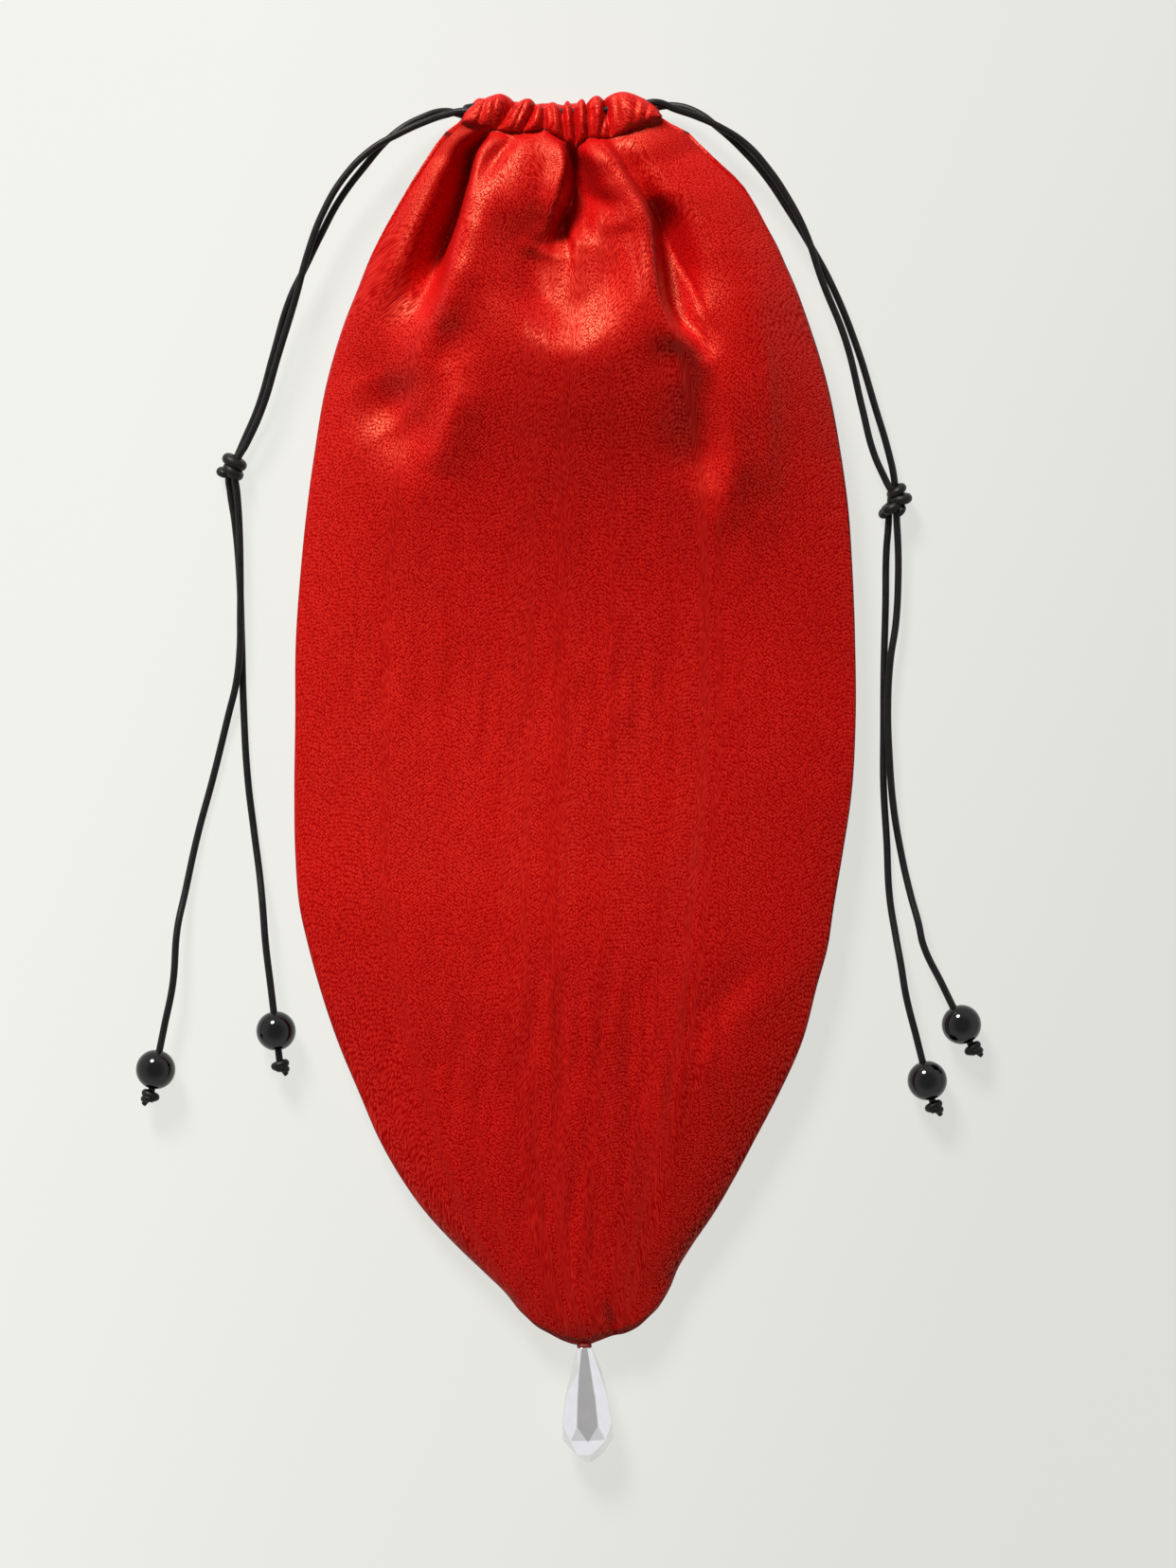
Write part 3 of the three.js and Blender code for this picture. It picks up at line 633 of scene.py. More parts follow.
widest = max(row[2] for row in OUTLINE) - min(row[1] for row in OUTLINE)
print("cloth is", round(widest * PIXEL, 1), "mm wide")

# %% [markdown]
# A fold is a short list of rows: picture x, picture y, height, and how far it reaches to its left and to
# its right, in millimetres. A small reach makes a wall and a large one a slope, so a ridge that
# overhangs a valley has 1 on the one side and 8 on the other. A valley has a height below nought.

# %% Folds of the front panel
FOLDS = {
    "left_valley": [
        (508, 144, -7, 2.4, 0.7), (500, 158, -11.5, 3.6, 0.7), (493, 186, -14, 4.8, 0.7), (488, 204, -14.5, 5.4, 0.8),
        (481, 228, -14, 6, 0.9), (470, 259, -11, 5.8, 1.2), (464, 283, -7, 5, 1.5), (458, 309, -4, 4.4, 1.8),
        (451, 329, -2, 4, 2.4), (444, 345, -0.6, 4, 4),
    ],
    "left_shoulder": [
        (484, 148, 0.4, 6, 4), (466, 176, 1, 7, 4), (448, 210, 1.4, 8, 5), (426, 242, 1.4, 8, 6),
        (406, 272, 1, 9, 7), (386, 300, 0.4, 9, 8),
    ],
    "left_hollow": [
        (484, 226, -1, 3, 4), (466, 250, -4.6, 4.6, 6), (452, 272, -6, 4.8, 6), (440, 296, -5.4, 5, 6.4),
        (424, 318, -4, 5.4, 7), (402, 342, -2, 6, 8), (384, 366, -0.6, 7, 8),
    ],
    "left_ridge": [
        (515, 150, 0.4, 1.2, 6), (503, 180, 1.8, 1.2, 7), (497, 204, 3, 1.2, 8), (491, 228, 4.2, 1.2, 8),
        (480, 259, 5.2, 1.4, 8), (474, 283, 5.2, 1.6, 8), (466, 309, 4.4, 1.8, 7.5), (459, 330, 3, 2.6, 7),
        (454, 350, 1.8, 4, 6), (450, 380, 0.6, 5, 6),
    ],
    "left_ridge_groove": [(536, 150, -1.8, 2, 2), (522, 168, -2, 2.2, 2.4), (508, 192, -0.7, 2, 2.2)],
    "ridge_dent": [(462, 338, -0.4, 2, 4), (466, 354, -1, 2.6, 5), (472, 372, -1.2, 3, 5), (480, 392, -0.4, 3, 5)],
    "left_bowl": [(392, 396, -2.8, 8, 8), (408, 428, -5, 9, 8), (420, 446, -3, 9, 7.4)],
    "left_stripe": [
        (489, 396, 1, 3, 7), (478, 430, 2.3, 2.8, 7), (464, 468, 2.1, 3.2, 8), (452, 500, 0.5, 5, 8),
    ],
    "centre_lobe": [
        (556, 142, 1, 8, 8), (548, 172, 2.2, 9, 8), (537, 212, 3, 9, 9), (528, 262, 1.8, 9, 9), (520, 310, 0.6, 9, 9),
    ],
    "centre_dent": [(572, 208, -0.7, 3, 2.4), (576, 232, -1.4, 3, 2.2), (580, 252, -0.7, 3, 2)],
    "centre_crinkle": [(558, 261, 0.5, 1.4, 1.6), (576, 268, 0.7, 1.4, 1.6)],
    "centre_hollow": [(566, 277, -0.9, 3, 3), (569, 308, -0.8, 4, 4)],
    "pocket_lip": [(592, 148, 1.3, 3, 0.6), (596, 174, 2, 3, 0.7), (590, 202, 2, 3.6, 0.8), (581, 240, 1, 4, 1.6)],
    "pocket": [
        (601, 143, -5, 0.8, 1.4), (605, 165, -9.4, 0.9, 2.8), (605, 190, -11.5, 1, 5.2), (600, 212, -11, 1.1, 7),
        (593, 232, -8, 1.4, 7.4), (587, 250, -3.4, 2, 7), (583, 268, -0.6, 4, 7),
    ],
    "small_lobe": [(630, 152, 1.6, 3.2, 4), (628, 172, 2.6, 2.8, 4.5), (634, 192, 1.6, 3, 5)],
    "small_lobe_hook": [(618, 194, -0.8, 2, 2), (627, 206, -2, 2.2, 2.2), (638, 213, -1.5, 2.4, 2)],
    "small_lobe_foot": [
        (612, 222, 0.4, 2.4, 3), (628, 231, 0.7, 2.8, 3.4), (650, 237, 0.7, 2.8, 3.4), (670, 231, 0.3, 3, 3),
    ],
    "right_ridge": [
        (641, 150, 1.4, 4, 0.8), (655, 178, 3, 5, 0.8), (669, 203, 3.8, 6, 0.8), (680, 222, 4.2, 7, 0.9),
        (687, 240, 4.3, 7, 0.9), (690, 268, 4, 8, 1), (693, 300, 3.6, 8, 1.3), (705, 337, 3, 7, 1.6),
        (727, 362, 2.4, 4, 1.8), (742, 381, 0.8, 4, 1.6),
    ],
    "right_gutter": [
        (652, 154, -1, 0.8, 3), (664, 178, -2, 0.8, 3), (679, 203, -3.4, 0.8, 3), (689, 220, -5.4, 0.8, 3.4),
        (696, 238, -7.4, 0.8, 4.4), (699, 262, -8, 0.9, 5.4), (702, 285, -8.2, 1, 6), (706, 310, -8, 1.2, 6),
        (716, 338, -6.6, 1.4, 5), (735, 362, -3, 1.4, 4), (750, 382, -0.5, 2, 4),
    ],
    "right_valley": [
        (690, 206, -0.6, 2, 4), (699, 232, -3.4, 2.6, 6), (708, 262, -4.8, 4, 7.4), (718, 285, -4.8, 5.4, 8),
        (731, 310, -3.8, 7, 9), (744, 338, -2.4, 6.4, 8), (754, 362, -1.2, 5, 6), (762, 386, -0.4, 4, 5),
    ],
    "crease": [
        (700, 238, -0.4, 0.6, 0.5), (708, 256, -0.9, 0.6, 0.5), (717, 273, -1, 0.6, 0.5), (726, 290, -0.9, 0.6, 0.5),
        (734, 305, -0.6, 0.7, 0.6), (748, 340, -0.5, 0.7, 0.7), (757, 352, -0.3, 0.8, 0.8),
    ],
    "right_dent": [
        (728, 384, -0.3, 5, 2.4), (738, 402, -1, 6, 2.6), (743, 428, -2, 7, 3), (747, 456, -2.9, 8, 3.4),
        (749, 484, -3, 8, 4), (752, 502, -1.9, 7, 4), (754, 522, -0.6, 6, 5),
    ],
    "right_dent_ridge": [
        (757, 384, 0.6, 3, 4), (768, 416, 1.2, 3.4, 5), (774, 456, 1.7, 4, 5), (774, 496, 2, 4, 6), (766, 528, 1.2, 4, 6),
    ],
    "right_soft_ridge": [(806, 330, 0.4, 6, 3), (812, 390, 1.1, 6, 3), (814, 460, 1.1, 6, 3), (812, 540, 0.4, 6, 4)],
    "low_right_dent": [(742, 1088, -0.5, 5, 5), (762, 1060, -0.7, 5, 5), (786, 1034, -0.4, 5, 5)],
    "low_right_ridge": [(782, 1074, 0.3, 5, 5), (826, 1046, 0.5, 5, 5), (872, 1016, 0.2, 5, 5)],
    "low_crease": [
        (664, 1060, -0.3, 3, 2.4), (672, 1140, -0.9, 4, 2.4), (684, 1220, -0.9, 4, 2.6), (692, 1300, -0.3, 4, 4),
    ],
    "low_left_crease": [
        (556, 1180, -0.2, 4, 4), (572, 1260, -0.7, 4, 4), (596, 1350, -0.5, 4, 3), (602, 1400, -0.1, 3, 3),
    ],
    "bottom_tuck": [(642, 1384, -0.3, 1.6, 1.6), (646, 1398, -1.6, 1.4, 1.2), (650, 1410, -2.2, 1.2, 1.2)],
}
FOLD_LEVEL = 21.0  # the height at which most folds lie, for at_px()
print("folds:", len(FOLDS), "with", sum(len(rows) for rows in FOLDS.values()), "rows")

# %% [markdown]
# To find a fold's height at a point, the nearest place on its line is looked up. The height and the
# reach are read there, and the height fades out sideways and beyond the line's two ends.

# %% The height of a fold
def fold_height(x, y, rows):
    """The height that one fold adds at each point."""
    rows = np.asarray(rows, float)
    fx, fy = at_px(rows[:, 0], rows[:, 1], FOLD_LEVEL)
    step = 0.6
    spine = through(np.column_stack([fx, fy, rows[:, 2:]]), step)
    step = np.linalg.norm(spine[1, :2] - spine[0, :2])
    reach = 2.6 * spine[:, 3:].max()
    low, high = spine[:, :2].min(0) - reach, spine[:, :2].max(0) + reach
    near = (x > low[0]) & (x < high[0]) & (y > low[1]) & (y < high[1])
    px, py = x[near], y[near]
    tangent = np.gradient(spine[:, :2], axis=0)
    tangent /= np.linalg.norm(tangent, axis=1)[:, None]
    away = (px[:, None] - spine[None, :, 0]) ** 2 + (py[:, None] - spine[None, :, 1]) ** 2
    k = away.argmin(1)
    dx, dy = px - spine[k, 0], py - spine[k, 1]
    along = dx * tangent[k, 0] + dy * tangent[k, 1]
    # Folds run down the picture, so their right side is the viewer's right.
    across = dx * -tangent[k, 1] + dy * tangent[k, 0]
    place = np.clip(k + np.clip(along / step, -0.5, 0.5), 0, len(spine) - 1)
    index = np.arange(len(spine))
    height, left, right = (np.interp(place, index, spine[:, i]) for i in (2, 3, 4))
    beyond = np.maximum(np.abs(along) - 0.5 * step, 0)
    width = np.where(across > 0, right, left)
    # A side much narrower than the other is a wall, and begins with a crease. Other sides are rounded.
    narrow, wide = np.minimum(left, right), np.maximum(left, right)
    wall = (width <= narrow) * (1 - ease(0.35, 0.8, narrow / wide))
    away = np.abs(across) / width
    rounded = np.exp(-(away**2))
    share = rounded + (np.maximum(1 - away / 2.2, 0) ** 1.7 - rounded) * wall
    total = np.zeros_like(x)
    total[near] = height * share * np.exp(-((beyond / wide) ** 2))
    return total


# %% [markdown]
# Cloth that has been crushed keeps fine vertical crinkles. They come from value noise: random heights on
# a coarse grid, smoothed between its points. A fixed seed gives the same crinkles each run.

# %% Crinkles
def crinkles(x, y, wide, tall, seed):
    """Smooth noise from -1 to 1, whose cells are wide by tall millimetres."""
    lattice = np.random.default_rng(seed).uniform(-1, 1, (300, 300))
    gx, gy = x / wide + 150, y / tall + 150
    ix, iy = np.floor(gx).astype(int) % 299, np.floor(gy).astype(int) % 299
    fx, fy = ease(0, 1, gx - np.floor(gx)), ease(0, 1, gy - np.floor(gy))
    top = lattice[iy, ix] * (1 - fx) + lattice[iy, ix + 1] * fx
    low = lattice[iy + 1, ix] * (1 - fx) + lattice[iy + 1, ix + 1] * fx
    return top * (1 - fy) + low * fy


# Patches where the crinkles show: picture x, y, half width, half height, and their height.
CRUSHED = [
    (600, 735, 190, 75, 0.42), (385, 700, 60, 80, 0.4), (600, 1120, 190, 90, 0.44), (640, 560, 180, 60, 0.2),
    (590, 1290, 90, 90, 0.3), (560, 1000, 180, 60, 0.16),
]


def crushed(x, y):
    total = 0.012
    for px, py, half_wide, half_tall, height in CRUSHED:
        cx, cy = at_px(px, py, 18)
        r = ((x - cx) / (half_wide * PIXEL)) ** 2 + ((y - cy) / (half_tall * PIXEL)) ** 2
        total = total + height * np.exp(-(r**1.5))
    return total * (0.55 * crinkles(x, y, 1.5, 9, 3) + 0.6 * crinkles(x, y, 3.1, 15, 4))


# %% [markdown]
# Between the two long ridges the cloth sinks into a bowl, whose rounded bottom catches the light. It is
# given by its rim, which runs down the left side, round the bottom and up the right side.

# %% The bowl
# Rows: picture x, picture y, how much lower the inside is, and the width of the slope inside the rim.
BOWL_RIM = [
    (514, 205, 0, 5), (518, 243, 2, 6), (534, 285, 3.8, 7), (552, 325, 4.6, 8.4), (576, 350, 4.4, 9), (603, 358, 4.2, 9),
    (624, 351, 3.8, 9), (652, 326, 3, 8), (674, 292, 2, 7), (682, 255, 0.8, 6), (676, 225, 0, 5),
]


def bowl_depth(x, y):
    """How far the bowl sinks each point: nought outside the rim and its full depth inside."""
    rows = np.asarray(BOWL_RIM, float)
    fx, fy = at_px(rows[:, 0], rows[:, 1], FOLD_LEVEL)
    rim = through(np.column_stack([fx, fy, rows[:, 2:]]), 0.7)
    near = (x > fx.min() - 14) & (x < fx.max() + 14) & (y > fy.min() - 14) & (y < fy.max() + 20)
    tangent = np.gradient(rim[:, :2], axis=0)
    tangent /= np.linalg.norm(tangent, axis=1)[:, None]
    gap = (x[near][:, None] - rim[None, :, 0]) ** 2 + (y[near][:, None] - rim[None, :, 1]) ** 2
    # A soft choice of the nearest points keeps the inside smooth where two sides are equally near.
    weight = np.exp(-(gap - gap.min(1)[:, None]) / 18)
    weight /= weight.sum(1)[:, None]
    dx, dy = x[near][:, None] - rim[None, :, 0], y[near][:, None] - rim[None, :, 1]
    inward = dx * -tangent[None, :, 1] + dy * tangent[None, :, 0]
    depth = rim[None, :, 2] * ease(-0.5, 1, inward / rim[None, :, 3])
    total = np.zeros_like(x)
    total[near] = (depth * weight).sum(1)
    return total


# %% [markdown]
# The front's height is then one sum: the rim at the seams, the rise to the crown, the folds, the
# crinkles and the bowl.

# %% The front panel's height
def front_height(x, y, py, across, below):
    """Height of the front panel. across is -1 to 1 between its seams, below is from the stitches."""
    px = x / PIXEL + ORIGIN_PX[0]
    # Either side of the bowl the crown lies further up the picture, by up to 60 pixels.
    bowl = 60 * (1 - np.exp(-(((px - 603) / 95) ** 2))) * np.exp(-((py - 300) / 130) ** 2)
    crown = smooth_line(CROWN, py + bowl)[..., 0]
    rim = seam_height(py, across) + (FRONT_CASING_Z - SEAM_Z) * (1 - ease(0, 9, below))
    belly = (1 - np.abs(across) ** 2.2) ** 0.85  # full in the middle and steep at the seams
    height = rim + (crown - rim) * belly
    folds = sum(fold_height(x, y, rows) for rows in FOLDS.values()) + crushed(x, y) - bowl_depth(x, y)
    return height + folds * np.minimum(1, belly * 1.7)


# %% [markdown]
# ## Gathers
# At the mouth the cloth folds back over the strings and is stitched down. Pulled together, that hem
# bunches into lobes. Each lobe has a left and a right border on its top edge and on the stitch line, and
# a crest between them. Between two lobes the cloth is pinched deep against the string.

# %% Lobes of the front casing
# Each lobe: its left border (top x, top y, stitch x, stitch y), its crest (x, y on the top edge), how far
# it stands out, and how many columns of cloth it takes. The last row is the right end.
LOBES = [
    (488, 127, 487.5, 130, 524, 99.5, 1.3, 30),
    (545, 111, 524, 138.5, 558, 104, 1.5, 18),
    (566.5, 111.5, 550, 141.5, 570.5, 110.5, 1, 12),
    (574.5, 114.5, 575, 137, 585, 108, 1.3, 14),
    (593, 118, 597, 150, 599, 106.5, 1, 11),
    (605, 116, 608, 156, 614, 104.5, 1.4, 14),
    (619, 110.5, 620, 146, 629, 101.2, 1.4, 16),
    (637.5, 106, 645, 147, 664, 97.8, 1.4, 37),
]
LOBE_END = (698, 123, 698, 124)
CASING_DEEP = 2.4
PINCH = 0.32  # share of the casing's depth that is left between two lobes
STITCH_Z = 16.0
# Creases across the casing: picture x on its top edge and on the stitch line, depth and half width.
CASING_CREASES = [
    (514, 505, 0.8, 0.7), (524, 519, 0.5, 0.6), (557, 541, 0.9, 0.6), (581, 584, 0.5, 0.5), (625, 628, 0.6, 0.5),
    (641, 634, 1.6, 0.6), (650, 655, 0.5, 0.7), (674, 668, 0.6, 0.7), (686, 680, 0.5, 0.6),
]


def columns_of_lobes():
    """For each column: top x and y, stitch x and y, how full it is, and how far its lobe stands out."""
    columns = []
    ends = [lobe[:4] for lobe in LOBES[1:]] + [LOBE_END]
    for (tx, ty, sx, sy, crest_x, crest_y, out, count), (ex, ey, fx, fy) in zip(LOBES, ends):
        for i in range(count):
            f = i / count
            peak = (crest_x - tx) / (ex - tx)
            rise = f / peak if f < peak else (1 - f) / (1 - peak)
            blunt = (tx == LOBES[0][0] and f < peak) or (tx == LOBES[-1][0] and f > peak)
            full = math.sin(math.pi / 2 * min(1, rise)) ** (0.45 if blunt else 0.8)
            edge_y = ty + (ey - ty) * f
            top_y = edge_y + (crest_y - (ty + (ey - ty) * peak)) * full
            columns.append((tx + (ex - tx) * f, top_y, sx + (fx - sx) * f, sy + (fy - sy) * f, full, out))
    columns.append((*LOBE_END, 0.25, 1))
    return np.array(columns)


lobes = columns_of_lobes()
print("columns of cloth:", len(lobes))

# %% [markdown]
# The front panel is one sheet. Its rows start at the stitches, run up behind the strings, over the top
# and down the front of the casing to the stitches again, and then down the panel to the tip.

# %% Rows of the front casing
BACK_ROWS, FACE_ROWS, PANEL_ROWS = 7, 20, 236
CLOTH_THICK = 0.6


def casing_rows(lobe_columns):
    top_x, top_y = at_px(lobe_columns[:, 0], lobe_columns[:, 1], FRONT_CASING_Z)
    low_x, low_y = at_px(lobe_columns[:, 2], lobe_columns[:, 3], FRONT_CASING_Z)
    full, out = lobe_columns[:, 4], lobe_columns[:, 5]
    behind = np.linspace(-math.pi, -0.12, BACK_ROWS, endpoint=False)
    face = np.linspace(0, math.pi, FACE_ROWS)
    rows = []
    for phi in np.concatenate([behind, face]):
        up = (1 + math.cos(phi)) / 2
        x = low_x + (top_x - low_x) * up
        y = low_y + (top_y - low_y) * up
        if phi > 0:
            depth = CASING_DEEP * (PINCH + (1 - PINCH) * full) + out * full
            for crease_top, crease_low, crease_deep, crease_wide in CASING_CREASES:
                crease_x = at_px(crease_low + (crease_top - crease_low) * up, 0, FRONT_CASING_Z)[0]
                depth = depth - crease_deep * np.exp(-(((x - crease_x) / crease_wide) ** 2))
            depth = depth + 0.3 * crinkles(x, y, 1.6, 2.6, 8)
            z = FRONT_CASING_Z + depth * abs(math.sin(phi)) ** 0.8
            z = z + (STITCH_Z - FRONT_CASING_Z) * (1 - up) ** 2
        else:
            z = FRONT_CASING_Z - CASING_DEEP * abs(math.sin(phi)) ** 0.8 + (STITCH_Z - FRONT_CASING_Z) * (1 - up)
        rows.append(np.column_stack([x, y, np.broadcast_to(z, x.shape)]))
    return np.array(rows)


# %% Rows of the leaf
def spread_columns(count):
    """Places from -1 to 1, closer together at the seams, where the cloth turns steeply."""
    even = np.linspace(-1, 1, count)
    return 0.62 * even + 0.38 * np.sin(even * math.pi / 2)


def leaf_row(s, start, stitch_py, inset=0):
    """One row of a panel, s from 0 at the mouth to 1 at the tip: picture x and y, and place across."""
    side_py = MOUTH_PX + (LAST_ROW_PX - MOUTH_PX) * s
    across = start + (spread_columns(len(start)) - start) * ease(0, 400, side_py - MOUTH_PX)
    left, right = edges_px(np.array(side_py))
    px = left + inset + (right - left - 2 * inset) * (across + 1) / 2
    low_left, low_right = BOTTOM[0][0], BOTTOM[-1][0]
    low = smooth_line(BOTTOM, low_left + (low_right - low_left) * (across + 1) / 2)[:, 0] - LAST_ROW_PX
    return px, side_py + (stitch_py - MOUTH_PX) * (1 - s) ** 6 + low * s**7, across


def panel_rows(stitch):
    """The panel below a row of stitches, down to the round tip."""
    stitch_py = ORIGIN_PX[1] - stitch[:, 1] / PIXEL
    share = np.linspace(0, 1, PANEL_ROWS + 1)[1:]
    share = 0.45 * share + 0.55 * share**1.7  # rows lie closer where the folds are
    start_px = stitch[:, 0] / PIXEL + ORIGIN_PX[0]
    start = 2 * (start_px - start_px[0]) / (start_px[-1] - start_px[0]) - 1
    px, py, across = (np.array(v) for v in zip(*(leaf_row(s, start, stitch_py) for s in share)))
    return px, py, across, np.maximum((py - stitch_py) * PIXEL, 0)


# %% The front sheet
def front_sheet():
    casing = casing_rows(lobes)
    stitch = casing[-1]
    px, py, across, below = panel_rows(stitch)
    x, y = at_px(px, py)
    z = front_height(x, y, py, across, below)
    rise = 1 - np.exp(-((below / 1.4) ** 1.2))
    z = stitch[None, :, 2] * (1 - rise) + z * rise
    blend = np.exp(-((below / 3) ** 2))
    x = x - 0.6 * blend * (x - stitch[None, :, 0])
    return np.concatenate([casing, np.stack([x, y, z], axis=-1)])


front_points = front_sheet()
print("front sheet:", front_points.shape, "highest:", round(float(front_points[..., 2].max()), 1))

# %% Cloth meshes
def cloth_uv(points):
    """Flat-cloth coordinates in millimetres: across the rows from the middle, and down the columns."""
    across = np.linalg.norm(np.diff(points, axis=1), axis=2)
    u = np.concatenate([np.zeros((len(points), 1)), np.cumsum(across, axis=1)], axis=1)
    u -= u[:, [points.shape[1] // 2]]
    down = np.linalg.norm(np.diff(points, axis=0), axis=2)
    v = np.concatenate([np.zeros((1, points.shape[1])), -np.cumsum(down, axis=0)], axis=0)
    return u, v


def cloth_piece(name, points, flip=False):
    rows, columns = points.shape[:2]
    faces = grid_faces(rows, columns)
    if flip:
        faces = [tuple(reversed(face)) for face in faces]
    piece = mesh_of(name, points.reshape(-1, 3), faces)
    u, v = cloth_uv(points)
    layer = piece.data.uv_layers.new(name="flat_cloth")
    corners = np.zeros(len(piece.data.loops), dtype=np.int64)
    piece.data.loops.foreach_get("vertex_index", corners)
    flat = np.column_stack([u.ravel(), v.ravel()])[corners]
    layer.data.foreach_set("uv", flat.astype(np.float32).ravel())
    thickness = piece.modifiers.new("cloth_thickness", "SOLIDIFY")
    thickness.thickness = CLOTH_THICK * MM
    thickness.offset = -1
    print(name, "triangles with both faces:", 2 * triangles(piece))
    return piece


def sheet_area(points):
    a, b, c, d = points[:-1, :-1], points[1:, :-1], points[1:, 1:], points[:-1, 1:]
    halves = np.cross(b - a, c - a), np.cross(c - a, d - a)
    return float(sum(np.linalg.norm(h, axis=2).sum() / 2 for h in halves)) * MM * MM


front_cloth = cloth_piece("front_cloth", front_points)
print("front cloth, square metres:", round(sheet_area(front_points), 4))

# %% [markdown]
# ## Back panel
# The back lies on the table. It is flat in the middle, curls up to the side seams and has its own
# casing, with wider and calmer gathers than the front.

# %% Back panel
BACK_LOBES = [-1, -0.62, -0.28, 0.02, 0.3, 0.64, 1]
BACK_COLUMNS, BACK_PANEL_ROWS = 120, 110
BACK_INSET = 2.6  # the back's edge lies this many pixels inside the front's


def back_sheet():
    even = np.linspace(-1, 1, BACK_COLUMNS + 1)
    full = np.zeros_like(even)
    for left, right in zip(BACK_LOBES, BACK_LOBES[1:]):
        inside = (even >= left) & (even <= right)
        full[inside] = np.abs(np.sin(math.pi * (even[inside] - left) / (right - left))) ** 0.7
    x = MOUTH_SHIFT + even * (MOUTH_HALF - 1.2)
    middle = 1 - even**2
    centre_y = CASING_TOP - CORD_BELOW_TOP - CASING_BOW * middle
    tall = 2.9 + 1.1 * middle**0.5 + 0.5 * full - 2.2 * ease(0.86, 1, np.abs(even))
    rows = []
    for phi in np.concatenate([np.linspace(-math.pi, -0.15, 9, endpoint=False), np.linspace(0, math.pi, 14)]):
        deep = 2.7 if phi < 0 else 2.3 + 0.7 * full
        z = BACK_CASING_Z - deep * math.sin(phi)
        rows.append(np.column_stack([x, centre_y + tall * math.cos(phi), np.broadcast_to(z, x.shape)]))
    casing = np.array(rows)
    stitch = casing[-1]
    stitch_py = ORIGIN_PX[1] - stitch[:, 1] / PIXEL
    panel = []
    for s in np.linspace(0, 1, BACK_PANEL_ROWS + 1)[1:]:
        px, py, across = leaf_row(s, even, stitch_py, BACK_INSET)
        below = np.maximum((py - stitch_py) * PIXEL, 0)
        panel_x, panel_y = at_px(px, py)
        rim = seam_height(py, across) - 0.25 + (BACK_CASING_Z - SEAM_Z) * (1 - ease(0, 9, below))
        floor = (TIP_Z - 0.4) * ease(1310, 1421, py) ** 2 + 0.05
        flat = 1 - ease(0.5, 1.12, np.abs(across)) / ease(0.5, 1.12, 1)
        z = rim + (floor - rim) * flat
        pleats = 0.9 * full * (1 - ease(0, 45, below)) * ease(0, 4, below)
        z = z + pleats * np.minimum(1, 4 * (1 - np.abs(across)))
        rise = ease(0, 5, below)
        panel_x = panel_x * rise + (stitch[:, 0] + (panel_x - stitch[:, 0]) * 0.4) * (1 - rise)
        panel.append(np.column_stack([panel_x, panel_y, stitch[:, 2] * (1 - rise) + z * rise]))
    return np.concatenate([casing, np.array(panel)])


back_points = back_sheet()
back_cloth = cloth_piece("back_cloth", back_points, flip=True)
print("back cloth, square metres:", round(sheet_area(back_points), 4))

# %% [markdown]
# ## Satin-woven cloth
# The cloth is a heavy plain weave of glossy filament yarn, dyed red. Light catches the crown of each
# thread crossing, so lit cloth sparkles in rows of orange dots on deeper red, and shaded cloth falls to
# dark red. Crossings are 0.85 mm apart in a row, and the next row is half a step aside, 0.47 mm below.
# Real yarn is never quite even, so each crossing sits a little off its place and shines by its own
# amount; a perfect lattice would also make stripes against the picture's pixels. The weave is drawn in
# flat-cloth coordinates, in millimetres, so that its rows bend with the folds.

# %% Satin-woven cloth
CROSSING_APART = (0.85, 0.94)  # in a row of crossings, and from a row to the next but one
SLUBS_A_MM = (2.2, 0.14)  # thick places in the yarn, counted across it and along it
FUZZ_A_MM, DYE_CLOUDS_A_MM = 2.2, 0.03


